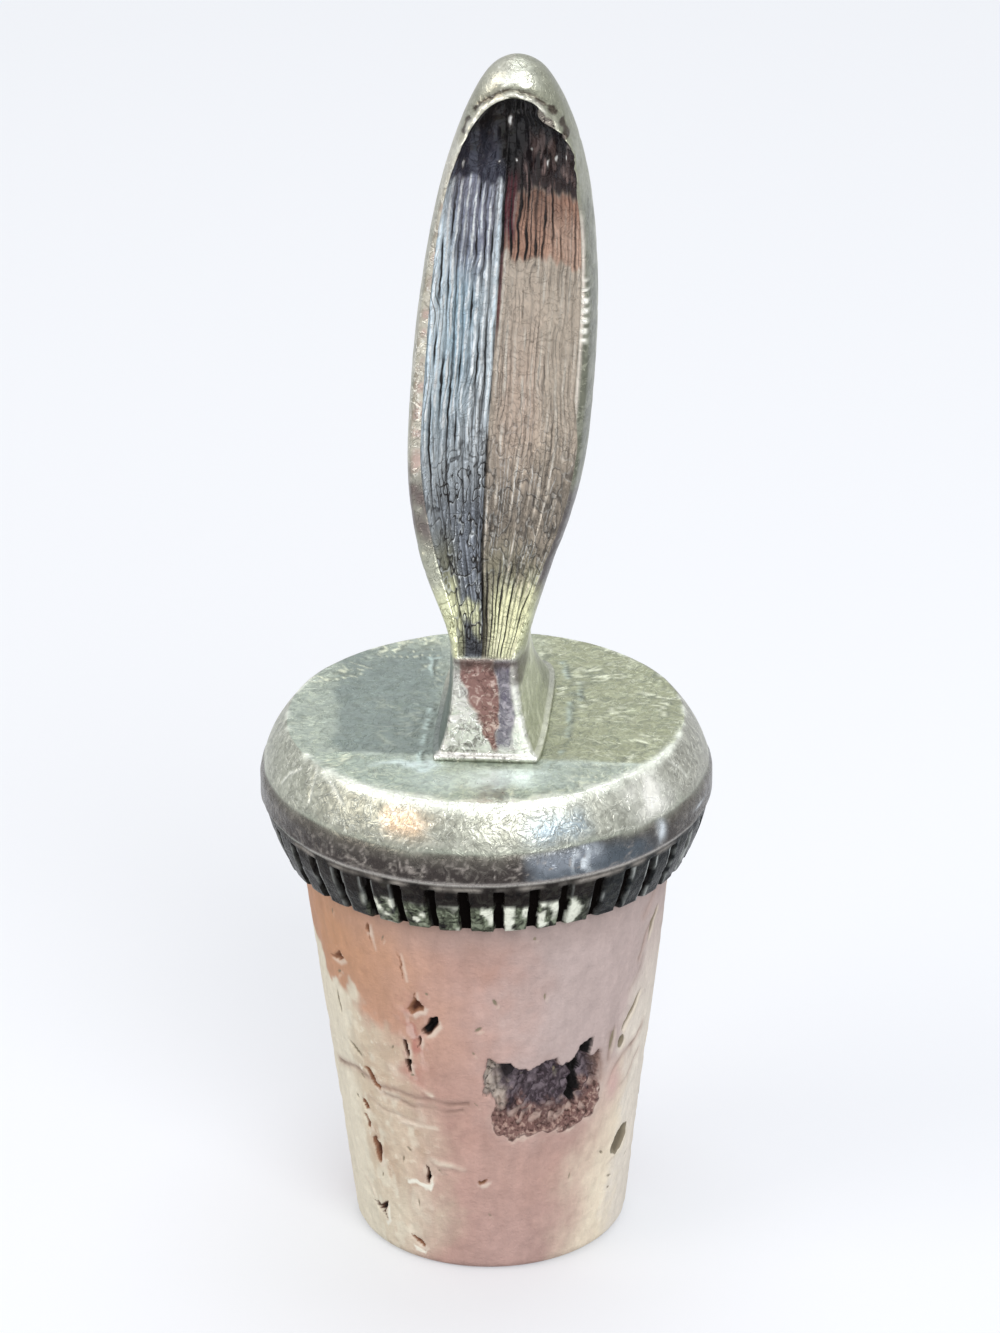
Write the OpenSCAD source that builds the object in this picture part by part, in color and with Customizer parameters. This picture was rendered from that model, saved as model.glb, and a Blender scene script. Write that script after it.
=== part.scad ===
// Bottle stopper: a tapered natural cork, a cast pewter cap with a milled lower band,
// a hollow-faced pewter finial soldered on top, and a steel stud that holds cap and cork together.
// Z is the cork's axis, the cork stands on z = 0, and the finial's hollow face looks along -Y.

/* [Cork] */
// Diameter of the cork's lower end
cork_low_d = 17; // [14:0.5:19]
// Diameter of the cork where it meets the cap
cork_top_d = 23.2; // [21:0.2:24]
// Length of the cork below the cap
cork_length = 26; // [22:0.5:36]
// Radius of the cork's rounded lower edge
cork_edge_r = 0.8; // [0.4:0.1:1.5]
// Depth of the torn patch in the cork's side
tear_depth = 0.8; // [0.3:0.1:1.4]
// Depth of the small pits in the cork's side
pit_depth = 0.6; // [0.3:0.1:1.2]

/* [Cap] */
// Largest diameter of the cap, across its smooth side
cap_d = 28; // [27:0.5:36]
// Diameter of the cap's flat top
cap_top_d = 24.6; // [22:0.2:26]
// Diameter of the milled band at its lower edge
band_low_d = 25; // [24.4:0.2:26]
// Height of the milled band
band_h = 3.8; // [3:0.1:6]
// Step in from the smooth side to the milled band
band_step = 0.22; // [0.1:0.02:0.5]
// Height of the smooth upright side
side_h = 2; // [1:0.1:4]
// Height of the sloped shoulder between the side and the flat top
shoulder_h = 2.85; // [1.5:0.05:4]
// Run in of the shoulder at its lower bend
shoulder_in = 0.2; // [0.1:0.05:0.6]

/* [Milling] */
// Number of notches round the band
notch_count = 40; // [24:2:48]
// Width of a notch
notch_w = 0.62; // [0.4:0.02:0.9]
// Depth of a notch
notch_depth = 0.45; // [0.2:0.05:0.8]
// Plain height of the band above the notches
notch_top_gap = 0.55; // [0.2:0.05:1]

/* [Stud] */
// Diameter of the stud's plain end, in the cap
stud_d = 4; // [3:0.5:6]
// Diameter across the crests of the stud's cork thread
thread_d = 4.6; // [4:0.2:6]
// Depth of the cork thread
thread_depth = 0.55; // [0.3:0.05:0.8]
// Pitch of the cork thread
thread_pitch = 1.8; // [1.2:0.2:2.4]
// Length of the stud in the cap
stud_in_cap = 5; // [3:0.5:6]
// Length of the stud in the cork
stud_in_cork = 15; // [10:1:18]
// Length of the stud's pointed tip
stud_tip = 2.5; // [1.5:0.5:4]
// Gap all round the stud in its holes
stud_clearance = 0.02; // [0.01:0.01:0.1]

/* [Foot] */
// Width of the finial's plinth
plinth_w = 7.1; // [6:0.1:9]
// Depth of the finial's plinth, front to back
plinth_l = 14.8; // [12:0.2:16]
// Height of the plinth's step
plinth_h = 0.35; // [0.2:0.05:0.8]
// Ledge of the plinth round the flared foot
plinth_ledge = 0.3; // [0.1:0.05:0.6]
// Height of the flared foot from the cap to the neck
foot_h = 6.6; // [5:0.1:9]
// Width of the neck
neck_w = 4.7; // [4.4:0.1:6]
// Distance of the foot's front face from the axis at the neck
neck_front = 6.3; // [5.8:0.1:6.8]
// Distance of the neck's back from the axis
neck_back = 4; // [3:0.1:5]
// Angle the finial is turned on the cap
finial_turn = 5; // [0:1:15]
// Distance of the foot's middle to the right of the axis
foot_right = 0.55; // [0:0.05:1]

/* [Blade] */
// Height of the blade above the neck
blade_h = 37.1; // [30:0.1:45]
// Greatest width of the blade
blade_w = 11; // [9:0.1:13]
// Height of the widest place, as a share of the blade's height
wide_share = 0.425; // [0.35:0.005:0.5]
// How far the tip stands to one side of the neck
blade_lean = 2.7; // [0:0.1:4]
// Distance of the rim in front of the axis at the widest place
rim_front = 3.05; // [2.5:0.05:4]
// Distance of the blade's back from the axis at the widest place
belly_back = 6.05; // [5:0.05:7]
// How far the tip curls forward
tip_curl = 3.7; // [2:0.1:5]

/* [Hollow] */
// Depth of the hollow at the widest place
hollow_depth = 3.2; // [1.5:0.1:4]
// Width of the hollow's mouth at the widest place
mouth_w = 9.3; // [8:0.1:10]
// Width of the hollow's mouth at the neck
mouth_neck_w = 3.4; // [2.4:0.1:4]
// Rounded part of the rim's width
rim_round = 0.42; // [0.3:0.02:0.48]
// Height of the solid hood above the hollow
hood_h = 2; // [1.2:0.1:4]
// Distance of the crease to the left of the mouth's middle
crease_left = 0.65; // [0:0.05:1]
// Number of ribs to the left of the crease
ribs_left = 8; // [5:1:10]
// Number of ribs to the right of the crease
ribs_right = 9; // [5:1:10]
// Height of a rib
rib_h = 0.22; // [0.1:0.02:0.4]

/* [Hidden] */

round_fn = 96;
past = 1;                       // how far a cutter runs past the surface it opens

// Heights of the stack
cap_z = cork_length;
band_top_z = cap_z + band_h;
side_top_z = band_top_z + side_h;
cap_top_z = side_top_z + shoulder_h;
neck_z = cap_top_z + foot_h;
tip_z = neck_z + blade_h;
wide_z = neck_z + wide_share * blade_h;
lip_z = tip_z - hood_h;

cork_taper = (cork_top_d - cork_low_d) / 2 / cork_length;
stud_bore_d = stud_d + 2 * stud_clearance;
cork_bore_d = thread_d + 2 * stud_clearance;

// ---- Cork ----------------------------------------------------------------

function cork_r(z) = cork_low_d / 2 + cork_taper * z;

// Outline of the tapered body, inset by a distance, with a rounded lower edge
module cork_outline(inset = 0) {
    edge = cork_edge_r;
    arc = [for (a = [-90 : 15 : 0]) [cork_r(edge) - edge + edge * cos(a), edge + edge * sin(a)]];
    polygon(concat([[0, 0]], [for (p = arc) [p[0] - inset, p[1]]],
                   [[cork_r(cork_length) - inset, cork_length], [0, cork_length]]));
}

// A cutter with the outline of its child, sunk in the side at an angle from the front
module on_cork(angle, z, depth) {
    rotate([0, 0, angle])
        translate([0, depth - cork_r(z), z])
            rotate([90, 0, 0])
                linear_extrude(depth + past)
                    children();
}

// Pointed lens, the outline of a pore
module lens(width, height) {
    steps = 5;
    side = [for (i = [0 : steps - 1]) let (t = 180 * i / steps)
            [width / 2 * sin(t), -height / 2 * cos(t)]];
    polygon(concat(side, [for (p = side) [-p[0], -p[1]]]));
}

// Ragged outline of the torn patch, as widths and heights about its middle
tear_angle = 24;
tear_z = 13;
tear_outline = [[-4.9, 0.8], [-4.2, 3], [-3.3, 2.4], [-2.6, 2.8], [-1.6, 2], [-0.6, 2.5],
                [0.9, 2], [1.6, 2.7], [2.6, 3.4], [3.1, 2.1], [4, 1.9], [4.6, -0.4],
                [4.4, -2.7], [2.9, -2.4], [0.6, -2.9], [-1.8, -2.9], [-3.4, -3.4], [-4.2, -1.8]];
crack_outline = [[1.5, 2.9], [2.2, 2.8], [1.9, 1.1], [1.7, -0.9], [1.2, -0.9], [1.1, 1.4]];

module tear() {
    difference() {
        on_cork(tear_angle, tear_z, 3 * tear_depth) polygon(tear_outline);
        rotate_extrude($fn = round_fn) cork_outline(tear_depth);
    }
    on_cork(tear_angle, tear_z, 2.5 * tear_depth) polygon(crack_outline);
}

// Pores: angle from the front, height, width, height across, tilt
pores = [[-20, 18.5, 0.8, 1.9, -50], [-24.6, 19.7, 0.9, 1.2, 20], [-28.7, 22.5, 0.35, 2.2, 8],
         [-40, 24.3, 0.8, 0.9, 0], [-28.5, 15.8, 0.6, 1.4, 10], [-54, 14.4, 0.7, 1.4, 50],
         [-46.5, 12.9, 0.8, 1.7, 40], [-49.4, 7.6, 0.9, 1.7, 10], [-26, 6.6, 1.1, 1.7, -60],
         [-3.4, 6.8, 0.35, 1.2, 80], [-51, 2.9, 0.7, 1.5, 40], [59, 7.2, 0.8, 2.1, -25],
         [58.6, 16.7, 0.5, 2.3, -20], [54, 14.6, 0.8, 1.2, 0], [51, 23.2, 0.5, 1.8, -30],
         [118, 18, 0.6, 2, 10], [141, 9, 0.9, 1.6, -15], [168, 21, 0.5, 1.7, 25],
         [-165, 12, 0.8, 1.9, -30], [-132, 20, 0.6, 1.6, 0], [-104, 6, 0.7, 1.8, 35],
         [96, 11, 0.5, 1.9, -40]];

module cork() {
    color("#cfae9c")
    difference() {
        rotate_extrude($fn = round_fn) cork_outline();
        translate([0, 0, cork_length - stud_in_cork - stud_clearance])
            cylinder(h = stud_in_cork + past, d = cork_bore_d, $fn = round_fn);
        tear();
        for (p = pores)
            on_cork(p[0], p[1], pit_depth)
                rotate(p[4])
                    lens(p[2], p[3]);
    }
}

// ---- Cap -----------------------------------------------------------------

// Radius of the milled band: upright at its top and drawn in below
function band_r(z) = let (share = (band_top_z - z) / band_h)
    cap_d / 2 - band_step - (cap_d / 2 - band_step - band_low_d / 2) * pow(share, 1.5);

function band_points(inset = 0) = let (steps = 8)
    [for (i = [0 : steps]) let (z = cap_z + band_h * i / steps) [band_r(z) - inset, z]];

// Shoulder from the upright side to the flat top, bowed slightly outwards
function shoulder_points() = let (steps = 8, low = cap_d / 2 - shoulder_in, bow = 0.22)
    [for (i = [0 : steps]) let (t = i / steps)
        [low + (cap_top_d / 2 - low) * t + bow * sin(180 * t), side_top_z + shoulder_h * t]];

module cap_blank() {
    rotate_extrude($fn = round_fn)
        polygon(concat([[0, cap_z]], band_points(),
                       [[cap_d / 2 - band_step / 2, band_top_z + band_step / 4],
                        [cap_d / 2, band_top_z + band_step],
                        [cap_d / 2, side_top_z - shoulder_in * 3]],
                       shoulder_points(), [[0, cap_top_z]]));
}

// A notch follows the band's curve at a constant depth and runs out of its lower edge
module notch() {
    top = band_top_z - notch_top_gap;
    inner = [for (p = band_points(notch_depth)) if (p[1] < top) p];
    outer_r = cap_d / 2 + past;
    rotate([90, 0, 0])
        linear_extrude(notch_w, center = true)
            polygon(concat([[outer_r, cap_z - past], [inner[0][0] - notch_depth, cap_z - past]],
                           inner, [[band_r(top) - notch_depth, top], [outer_r, top]]));
}

module cap() {
    color("#9aa08f")
    difference() {
        cap_blank();
        for (i = [0 : notch_count - 1])
            rotate([0, 0, 360 * (i + 0.32) / notch_count - 90])
                notch();
        translate([0, 0, cap_z - past])
            cylinder(h = stud_in_cap + past + stud_clearance, d = stud_bore_d, $fn = round_fn);
    }
}

// ---- Stud ----------------------------------------------------------------

// One turned outline: a point, ring teeth one pitch apart in the cork, a plain shank in the cap
module stud() {
    crest = thread_d / 2;
    root = crest - thread_depth;
    tip = cap_z - stud_in_cork;
    teeth = floor((stud_in_cork - stud_tip) / thread_pitch);
    start = cap_z - teeth * thread_pitch;
    teeth_outline = [for (i = [0 : teeth - 1]) each
        [[root, start + i * thread_pitch],
         [crest, start + (i + 0.72) * thread_pitch],
         [crest, start + (i + 0.84) * thread_pitch]]];
    color("#8f9294")
        rotate_extrude($fn = round_fn)
            polygon(concat([[0, tip]], teeth_outline,
                           [[root, cap_z], [stud_d / 2, cap_z],
                            [stud_d / 2, cap_z + stud_in_cap], [0, cap_z + stud_in_cap]]));
}

// ---- Finial --------------------------------------------------------------

foot_back = 0.7;                // the plinth's middle lies this far behind the axis
tip_blunt = 0.6;                // the arch of the blade would close this far above its blunt tip
tip_round_h = 1.6;              // height over which the tip is blunted
widest_back = 0.36;             // the blade is widest this share of its depth behind its rim
settle_h = 6;                   // the blade comes over the axis from the foot within this height
flank_in = 0.65;                // the neck's front face is this much narrower at each side
foot_rings = 7;
low_rings = 14;
high_rings = 19;
hood_rings = 8;
back_steps = 16;
rim_steps = 3;

function mix(a, b, t) = a + (b - a) * t;
function flare(t) = pow(1 - t, 2.2);
function signed_power(v, e) = sign(v) * pow(abs(v), e);
// Swelling from 0 to 1, slow at first and level at the end
function swell(t, slow, fast) = 1 - pow(1 - pow(t, slow), fast);
// Fullness of an arched end: 1 up to its start and 0 at its end, blunter with a higher power
function arch(z, start, end, power) =
    z <= start ? 1 : z >= end ? 0 : sqrt(1 - pow((z - start) / (end - start), power));

function foot_share(z) = (z - cap_top_z) / foot_h;
function low_share(z) = (z - neck_z) / (wide_z - neck_z);
function high_share(z) = max(0, (z - wide_z) / (tip_z - wide_z));

// Half width seen from the front: a flared foot, a swelling lower half and an arched upper half
function half_w(z) =
    z < neck_z ? mix(neck_w, plinth_w - 2 * plinth_ledge, flare(foot_share(z))) / 2 :
    z < wide_z ? mix(neck_w, blade_w, swell(low_share(z), 1.4, 3.4)) / 2 :
    blade_w / 2 * arch(z, wide_z, tip_z + tip_blunt, 2) * arch(z, tip_z - tip_round_h, tip_z, 4);

// Depth position of the blade's middle and its half depth above the widest place
function spine_y(z) = (belly_back - rim_front) / 2 - tip_curl * pow(high_share(z), 2.6);
function half_l(z) = (belly_back + rim_front) / 2 * arch(z, wide_z, tip_z, 4);

function front_y(z) =
    z < neck_z ? -mix(neck_front, plinth_l / 2 - plinth_ledge - foot_back, flare(foot_share(z))) :
    z < wide_z ? -mix(neck_front, rim_front, swell(low_share(z), 1, 2.2)) :
    spine_y(z) - half_l(z);

function back_y(z) =
    z < neck_z ? mix(neck_back, plinth_l / 2 - plinth_ledge + foot_back, flare(foot_share(z))) :
    z < wide_z ? mix(neck_back, belly_back, swell(low_share(z), 1, 2)) :
    spine_y(z) + half_l(z);

// Sideways position of the blade's middle, leaning more steeply at first
function lean_x(z) =
    let (rise = max(0, (z - neck_z) / blade_h), settle = min(1, max(0, (z - neck_z) / settle_h)))
    blade_lean * (1 - pow(1 - rise, 1.15)) + foot_right * (1 + cos(180 * settle)) / 2;

// Half width of the hollow's mouth
function mouth_x(z) =
    z < neck_z ? mouth_neck_w / 2 :
    z < wide_z ? mix(mouth_neck_w, mouth_w, swell(low_share(z), 1.9, 3.7)) / 2 :
    min(mouth_w / 2 * arch(z, wide_z, lip_z, 3.8), half_w(z) - rim_in(z));

// The rim's rounding takes less of its width towards the tip
function rim_in(z) = rim_round * (1 - 0.6 * pow(high_share(z), 3));

// Half width of the rim's flat, which closes over the hollow as the hood
function rim_x(z) =
    z < neck_z ? half_w(z) - flank_in * mix(1, 0.5, flare(foot_share(z))) :
    z < wide_z ? half_w(z) - mix(flank_in, rim_round, low_share(z)) :
    max(mouth_x(z) + 0.05, half_w(z) * (1 - pow(high_share(z), 5)) - rim_in(z));

// Half width of the ribbed surface; where there is no hollow its points lie flat in the front face
function ribbed_x(z) = depth_at(z) > 0 ? mouth_x(z) : 0.8 * min(mouth_neck_w / 2, rim_x(z));

function depth_at(z) =
    z <= neck_z || z >= lip_z ? 0 :
    z < wide_z ? hollow_depth * swell(low_share(z), 1, 2.6) :
    hollow_depth * arch(z, wide_z, lip_z, 5);

// Depth of the hollow's floor behind its mouth: 1 at the crease and 0 at the rim
function hollow_floor(t) = 1 - 0.6 * t - 0.4 * pow(t, 3);

// One half of the hollow's floor, from the crease (t = 0) to the rim (t = 1), with its ribs
function hollow_half(z, side, ribs, ledge) =
    let (crease_x = -crease_left * ribbed_x(z) / (mouth_w / 2),
         edge_x = side * ribbed_x(z),
         depth = depth_at(z),
         crest = min(rib_h, depth * 0.4))
    [for (i = [0 : 2 * ribs - 1]) let (t = (i + 0.5) / (2 * ribs))
        [mix(crease_x, edge_x, t),
         front_y(z) - ledge + depth * hollow_floor(t) - (i % 2 == 1 ? crest : 0)]];

// A rounded block at the plinth, an oval in the blade
function squareness(z) =
    z < neck_z ? mix(2.6, 7, flare(foot_share(z))) : 2.6 - 0.4 * min(1, low_share(z));

// Outer side of a ring, from one rim round to the back, grown by the plinth's ledge
function outer_half(z, side, ledge) =
    let (power = 2 / squareness(z),
         w = half_w(z) + ledge,
         rim = rim_x(z) + ledge,
         front = front_y(z) - ledge,
         back = back_y(z) + ledge,
         mid_y = mix(front, back, widest_back))
    concat(
        [for (i = [0 : rim_steps]) let (a = 90 * i / rim_steps)
            [side * mix(rim, w, sin(a)), mix(mid_y, front, cos(a))]],
        [for (i = [1 : back_steps / 2]) let (a = 90 * i / (back_steps / 2))
            [side * w * signed_power(cos(a), power), mix(mid_y, back, signed_power(sin(a), power))]]);

function reversed(list) = [for (i = [len(list) - 1 : -1 : 0]) list[i]];

// All points of a ring: right half of the hollow, outer right, outer left, left half of the hollow
function ring(z, ledge = 0) =
    let (right = outer_half(z, 1, ledge),
         left = outer_half(z, -1, ledge),
         front = front_y(z) - ledge,
         flat = concat(
             hollow_half(z, 1, ribs_right, ledge),
             [[ribbed_x(z), front]],
             right,
             [for (i = [len(left) - 2 : -1 : 0]) left[i]],
             [[-ribbed_x(z), front]],
             reversed(hollow_half(z, -1, ribs_left, ledge))))
    [for (p = flat) [p[0] + lean_x(z), p[1], z]];

// Heights of the rings, closer together towards the neck, the lip and the tip
foot_z = cap_top_z + plinth_h;
ring_z = concat(
    [for (i = [0 : foot_rings - 1]) mix(foot_z, neck_z, i / foot_rings)],
    [for (i = [0 : low_rings - 1]) mix(neck_z, wide_z, pow(i / low_rings, 1.2))],
    [for (i = [0 : high_rings]) mix(wide_z, lip_z, sin(90 * i / (high_rings + 0.4)))],
    [for (i = [0 : hood_rings - 1]) mix(lip_z, tip_z, sin(88 * i / (hood_rings - 1)))]);

// One skin from the plinth to the tip, so that the casting is one piece
module finial() {
    plinth_shape = ring(foot_z, plinth_ledge);
    rings = concat([[for (p = plinth_shape) [p[0], p[1], cap_top_z]], plinth_shape],
                   [for (z = ring_z) ring(z)]);
    count = len(plinth_shape);
    last = len(rings) - 1;
    points = concat([for (r = rings) each r],
                    [[foot_right, foot_back, cap_top_z], [lean_x(tip_z), spine_y(tip_z), tip_z]]);
    base_point = len(points) - 2;
    tip_point = len(points) - 1;
    function at(level, i) = level * count + i % count;
    base = [for (i = [0 : count - 1]) [base_point, at(0, i), at(0, i + 1)]];
    walls = [for (level = [0 : last - 1], i = [0 : count - 1]) each
        [[at(level, i), at(level + 1, i), at(level + 1, i + 1)],
         [at(level, i), at(level + 1, i + 1), at(level, i + 1)]]];
    roof = [for (i = [0 : count - 1]) [at(last, i), tip_point, at(last, i + 1)]];
    color("#a3a695")
        rotate([0, 0, -finial_turn])
            polyhedron(points, concat(base, walls, roof));
}

cork();
cap();
stud();
finial();
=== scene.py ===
import bpy
import math
import numpy as np
from mathutils import Matrix, Vector


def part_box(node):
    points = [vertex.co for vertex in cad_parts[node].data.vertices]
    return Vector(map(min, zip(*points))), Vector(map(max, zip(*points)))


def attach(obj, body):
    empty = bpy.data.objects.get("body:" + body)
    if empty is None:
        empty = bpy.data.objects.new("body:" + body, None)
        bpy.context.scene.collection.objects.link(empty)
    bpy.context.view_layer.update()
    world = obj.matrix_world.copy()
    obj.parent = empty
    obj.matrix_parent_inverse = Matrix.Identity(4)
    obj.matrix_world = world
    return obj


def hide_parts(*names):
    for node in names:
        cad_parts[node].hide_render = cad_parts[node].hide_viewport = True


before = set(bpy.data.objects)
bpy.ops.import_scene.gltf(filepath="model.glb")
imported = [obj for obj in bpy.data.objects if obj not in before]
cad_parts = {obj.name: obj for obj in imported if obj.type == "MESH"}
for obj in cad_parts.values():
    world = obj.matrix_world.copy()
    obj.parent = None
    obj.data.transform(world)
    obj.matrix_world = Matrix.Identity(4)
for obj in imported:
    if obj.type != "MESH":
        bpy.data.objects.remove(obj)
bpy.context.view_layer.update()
mm = 0.001
print("frame loaded")

# all lengths below are in millimetres until a mesh is made; bare numbers in the masks are places on the part


def toLinear(code):
    channels = [int(code[i:i + 2], 16) / 255 for i in (1, 3, 5)]
    return [c / 12.92 if c <= 0.04045 else ((c + 0.055) / 1.055) ** 2.4 for c in channels] + [1.0]


def mix(a, b, t):
    return a + (b - a) * t


def clamp01(v):
    return np.clip(v, 0.0, 1.0)


def ease(low, high, v):  # 0 at low, 1 at high, smooth between; low may be the larger one
    t = clamp01((v - low) / (high - low))
    return t * t * (3 - 2 * t)


def bell(v, centre, width):  # 1 at the centre, falling off over the width
    return np.exp(-((v - centre) / width) ** 2)


def between(low, high, soft, v):  # 1 from low to high, with soft ends
    return ease(low - soft, low + soft, v) * ease(high + soft, high - soft, v)


def strongest(parts):
    return np.maximum.reduce(parts)


def softNoise(x, y, z, seed):  # smooth value noise from -1 to 1 with one cell per unit
    table = np.random.default_rng(seed).random((32, 32, 32)) * 2 - 1
    cells = []
    parts = []
    for v in np.broadcast_arrays(x, y, z):
        low = np.floor(v)
        t = v - low
        cells.append(low.astype(int))
        parts.append(t * t * (3 - 2 * t))
    total = 0
    for corner in range(8):
        weight = 1
        index = []
        for axis in range(3):
            bit = (corner >> axis) & 1
            index.append((cells[axis] + bit) % 32)
            weight = weight * (parts[axis] if bit else 1 - parts[axis])
        total = total + weight * table[index[0], index[1], index[2]]
    return total


def toStroke(px, py, line):  # distance to an open line of points
    best = np.full(np.broadcast(px, py).shape, 1e9)
    for (ax, ay), (bx, by) in zip(line, line[1:]):
        dx = bx - ax
        dy = by - ay
        t = clamp01(((px - ax) * dx + (py - ay) * dy) / (dx * dx + dy * dy + 1e-12))
        best = np.minimum(best, np.hypot(px - ax - t * dx, py - ay - t * dy))
    return best


def buildPiece(name, rows, node, masks, lowPoint, highPoint):
    # rows is levels x points x 3, each level a closed ring; the two end points close it
    levels, count = rows.shape[:2]
    points = np.concatenate([rows.reshape(-1, 3), [lowPoint, highPoint]]) * mm
    i = np.arange(count)
    nextI = (i + 1) % count
    quads = [np.stack([k * count + i, k * count + nextI, (k + 1) * count + nextI, (k + 1) * count + i], 1)
             for k in range(levels - 1)]
    base = levels * count
    end = base - count
    faces = np.concatenate(quads).tolist()
    faces += np.stack([nextI, i, np.full(count, base)], 1).tolist()
    faces += np.stack([end + i, end + nextI, np.full(count, base + 1)], 1).tolist()
    mesh = bpy.data.meshes.new(name)
    mesh.from_pydata(points.tolist(), [], faces)
    for maskName, values in masks.items():
        layer = mesh.attributes.new(maskName, "FLOAT", "POINT")
        flat = np.concatenate([np.broadcast_to(values, (levels, count)).reshape(-1), [0.0, 0.0]])
        layer.data.foreach_set("value", flat.astype(np.float32))
    mesh.shade_smooth()
    mesh.update()
    piece = bpy.data.objects.new(name, mesh)
    bpy.context.scene.collection.objects.link(piece)
    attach(piece, "root")
    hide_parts(node)
    print(name, "has", sum(len(f) - 2 for f in faces), "triangles")
    return piece


def addNode(tree, kind, inputs=None, **settings):
    node = tree.nodes.new("ShaderNode" + kind)
    for key, value in settings.items():
        setattr(node, key, value)
    for key, value in (inputs or {}).items():
        if isinstance(value, bpy.types.NodeSocket):
            tree.links.new(value, node.inputs[key])
        else:
            node.inputs[key].default_value = value
    return node


def newMaterial(name):
    material = bpy.data.materials.new(name)
    material.use_nodes = True
    material.node_tree.nodes.clear()
    return material, material.node_tree


# the camera looks down on the flat top and the finial's face
camera = {"distance": 0.340, "height": 0.1970, "pitch": 25.074, "yaw": 0.155, "roll": -0.611,
          "lens": 164.95}


def placeCamera():
    pitch, yaw, roll = (math.radians(camera[k]) for k in ("pitch", "yaw", "roll"))
    look = Vector((math.sin(yaw) * math.cos(pitch), math.cos(yaw) * math.cos(pitch), -math.sin(pitch)))
    side = look.cross(Vector((0, 0, 1))).normalized()
    above = side.cross(look)
    sideRolled = side * math.cos(roll) + above * math.sin(roll)
    aboveRolled = above * math.cos(roll) - side * math.sin(roll)
    cameraData = bpy.data.cameras.new("mainCamera")
    cameraData.lens = camera["lens"]
    cameraData.sensor_width = 36
    cameraData.clip_start = 0.01
    cameraData.clip_end = 20
    mainCamera = bpy.data.objects.new("mainCamera", cameraData)
    bpy.context.scene.collection.objects.link(mainCamera)
    turn = Matrix((sideRolled, aboveRolled, -look)).transposed().to_4x4()
    mainCamera.matrix_world = Matrix.Translation((0, -camera["distance"], camera["height"])) @ turn
    bpy.context.scene.camera = mainCamera


placeCamera()
print("camera placed")

# the finial is one pewter casting, from the low plinth to the hooded tip
finial = {"plinthW": 7.1, "plinthL": 14.8, "plinthH": 0.35, "ledge": 0.3, "footH": 6.6, "footBack": 0.7,
          "footRight": 0.55, "neckW": 4.7, "neckFront": 6.3, "neckBack": 4.0, "flankIn": 0.65, "turn": -5.0,
          "bladeW": 11.0, "wideShare": 0.425, "lean": 2.7, "rimFront": 3.05, "bellyBack": 6.05, "curl": 3.7,
          "tipBlunt": 0.6, "tipRound": 1.6, "tipSlim": 0.16, "tipLeft": 0.23, "settle": 6.0,
          "widestBack": 0.36, "rimRound": 0.42, "depth": 3.2, "mouthW": 9.1, "mouthNeckW": 3.4,
          "mouthRight": 0.8, "hood": 2.0, "creaseLeft": 0.65, "ribsLeft": 8, "ribsRight": 10,
          "ribHeight": 0.15, "grooveLeft": 0.075, "grooveRight": 0.05, "wormDepth": 0.09, "lipBead": 0.13,
          "dent": 0.05, "footRows": 38, "lowRows": 121, "highRows": 168, "hoodRows": 34, "rightColumns": 98,
          "leftColumns": 92}

finialLow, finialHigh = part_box("finial")
capTop = finialLow.z / mm
tip = finialHigh.z / mm
neck = capTop + finial["footH"]
bladeH = tip - neck
wide = neck + finial["wideShare"] * bladeH
lip = tip - finial["hood"]


def arch(z, start, end, power):
    share = clamp01((z - start) / (end - start))
    return np.sqrt(1 - share ** power)


def swell(t, slow, fast):
    return 1 - (1 - clamp01(t) ** slow) ** fast


def flareOf(z):
    return (1 - clamp01((z - capTop) / finial["footH"])) ** 2.2


def byHeight(z, foot, low, high):
    return np.where(z < neck, foot, np.where(z < wide, low, high))


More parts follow.
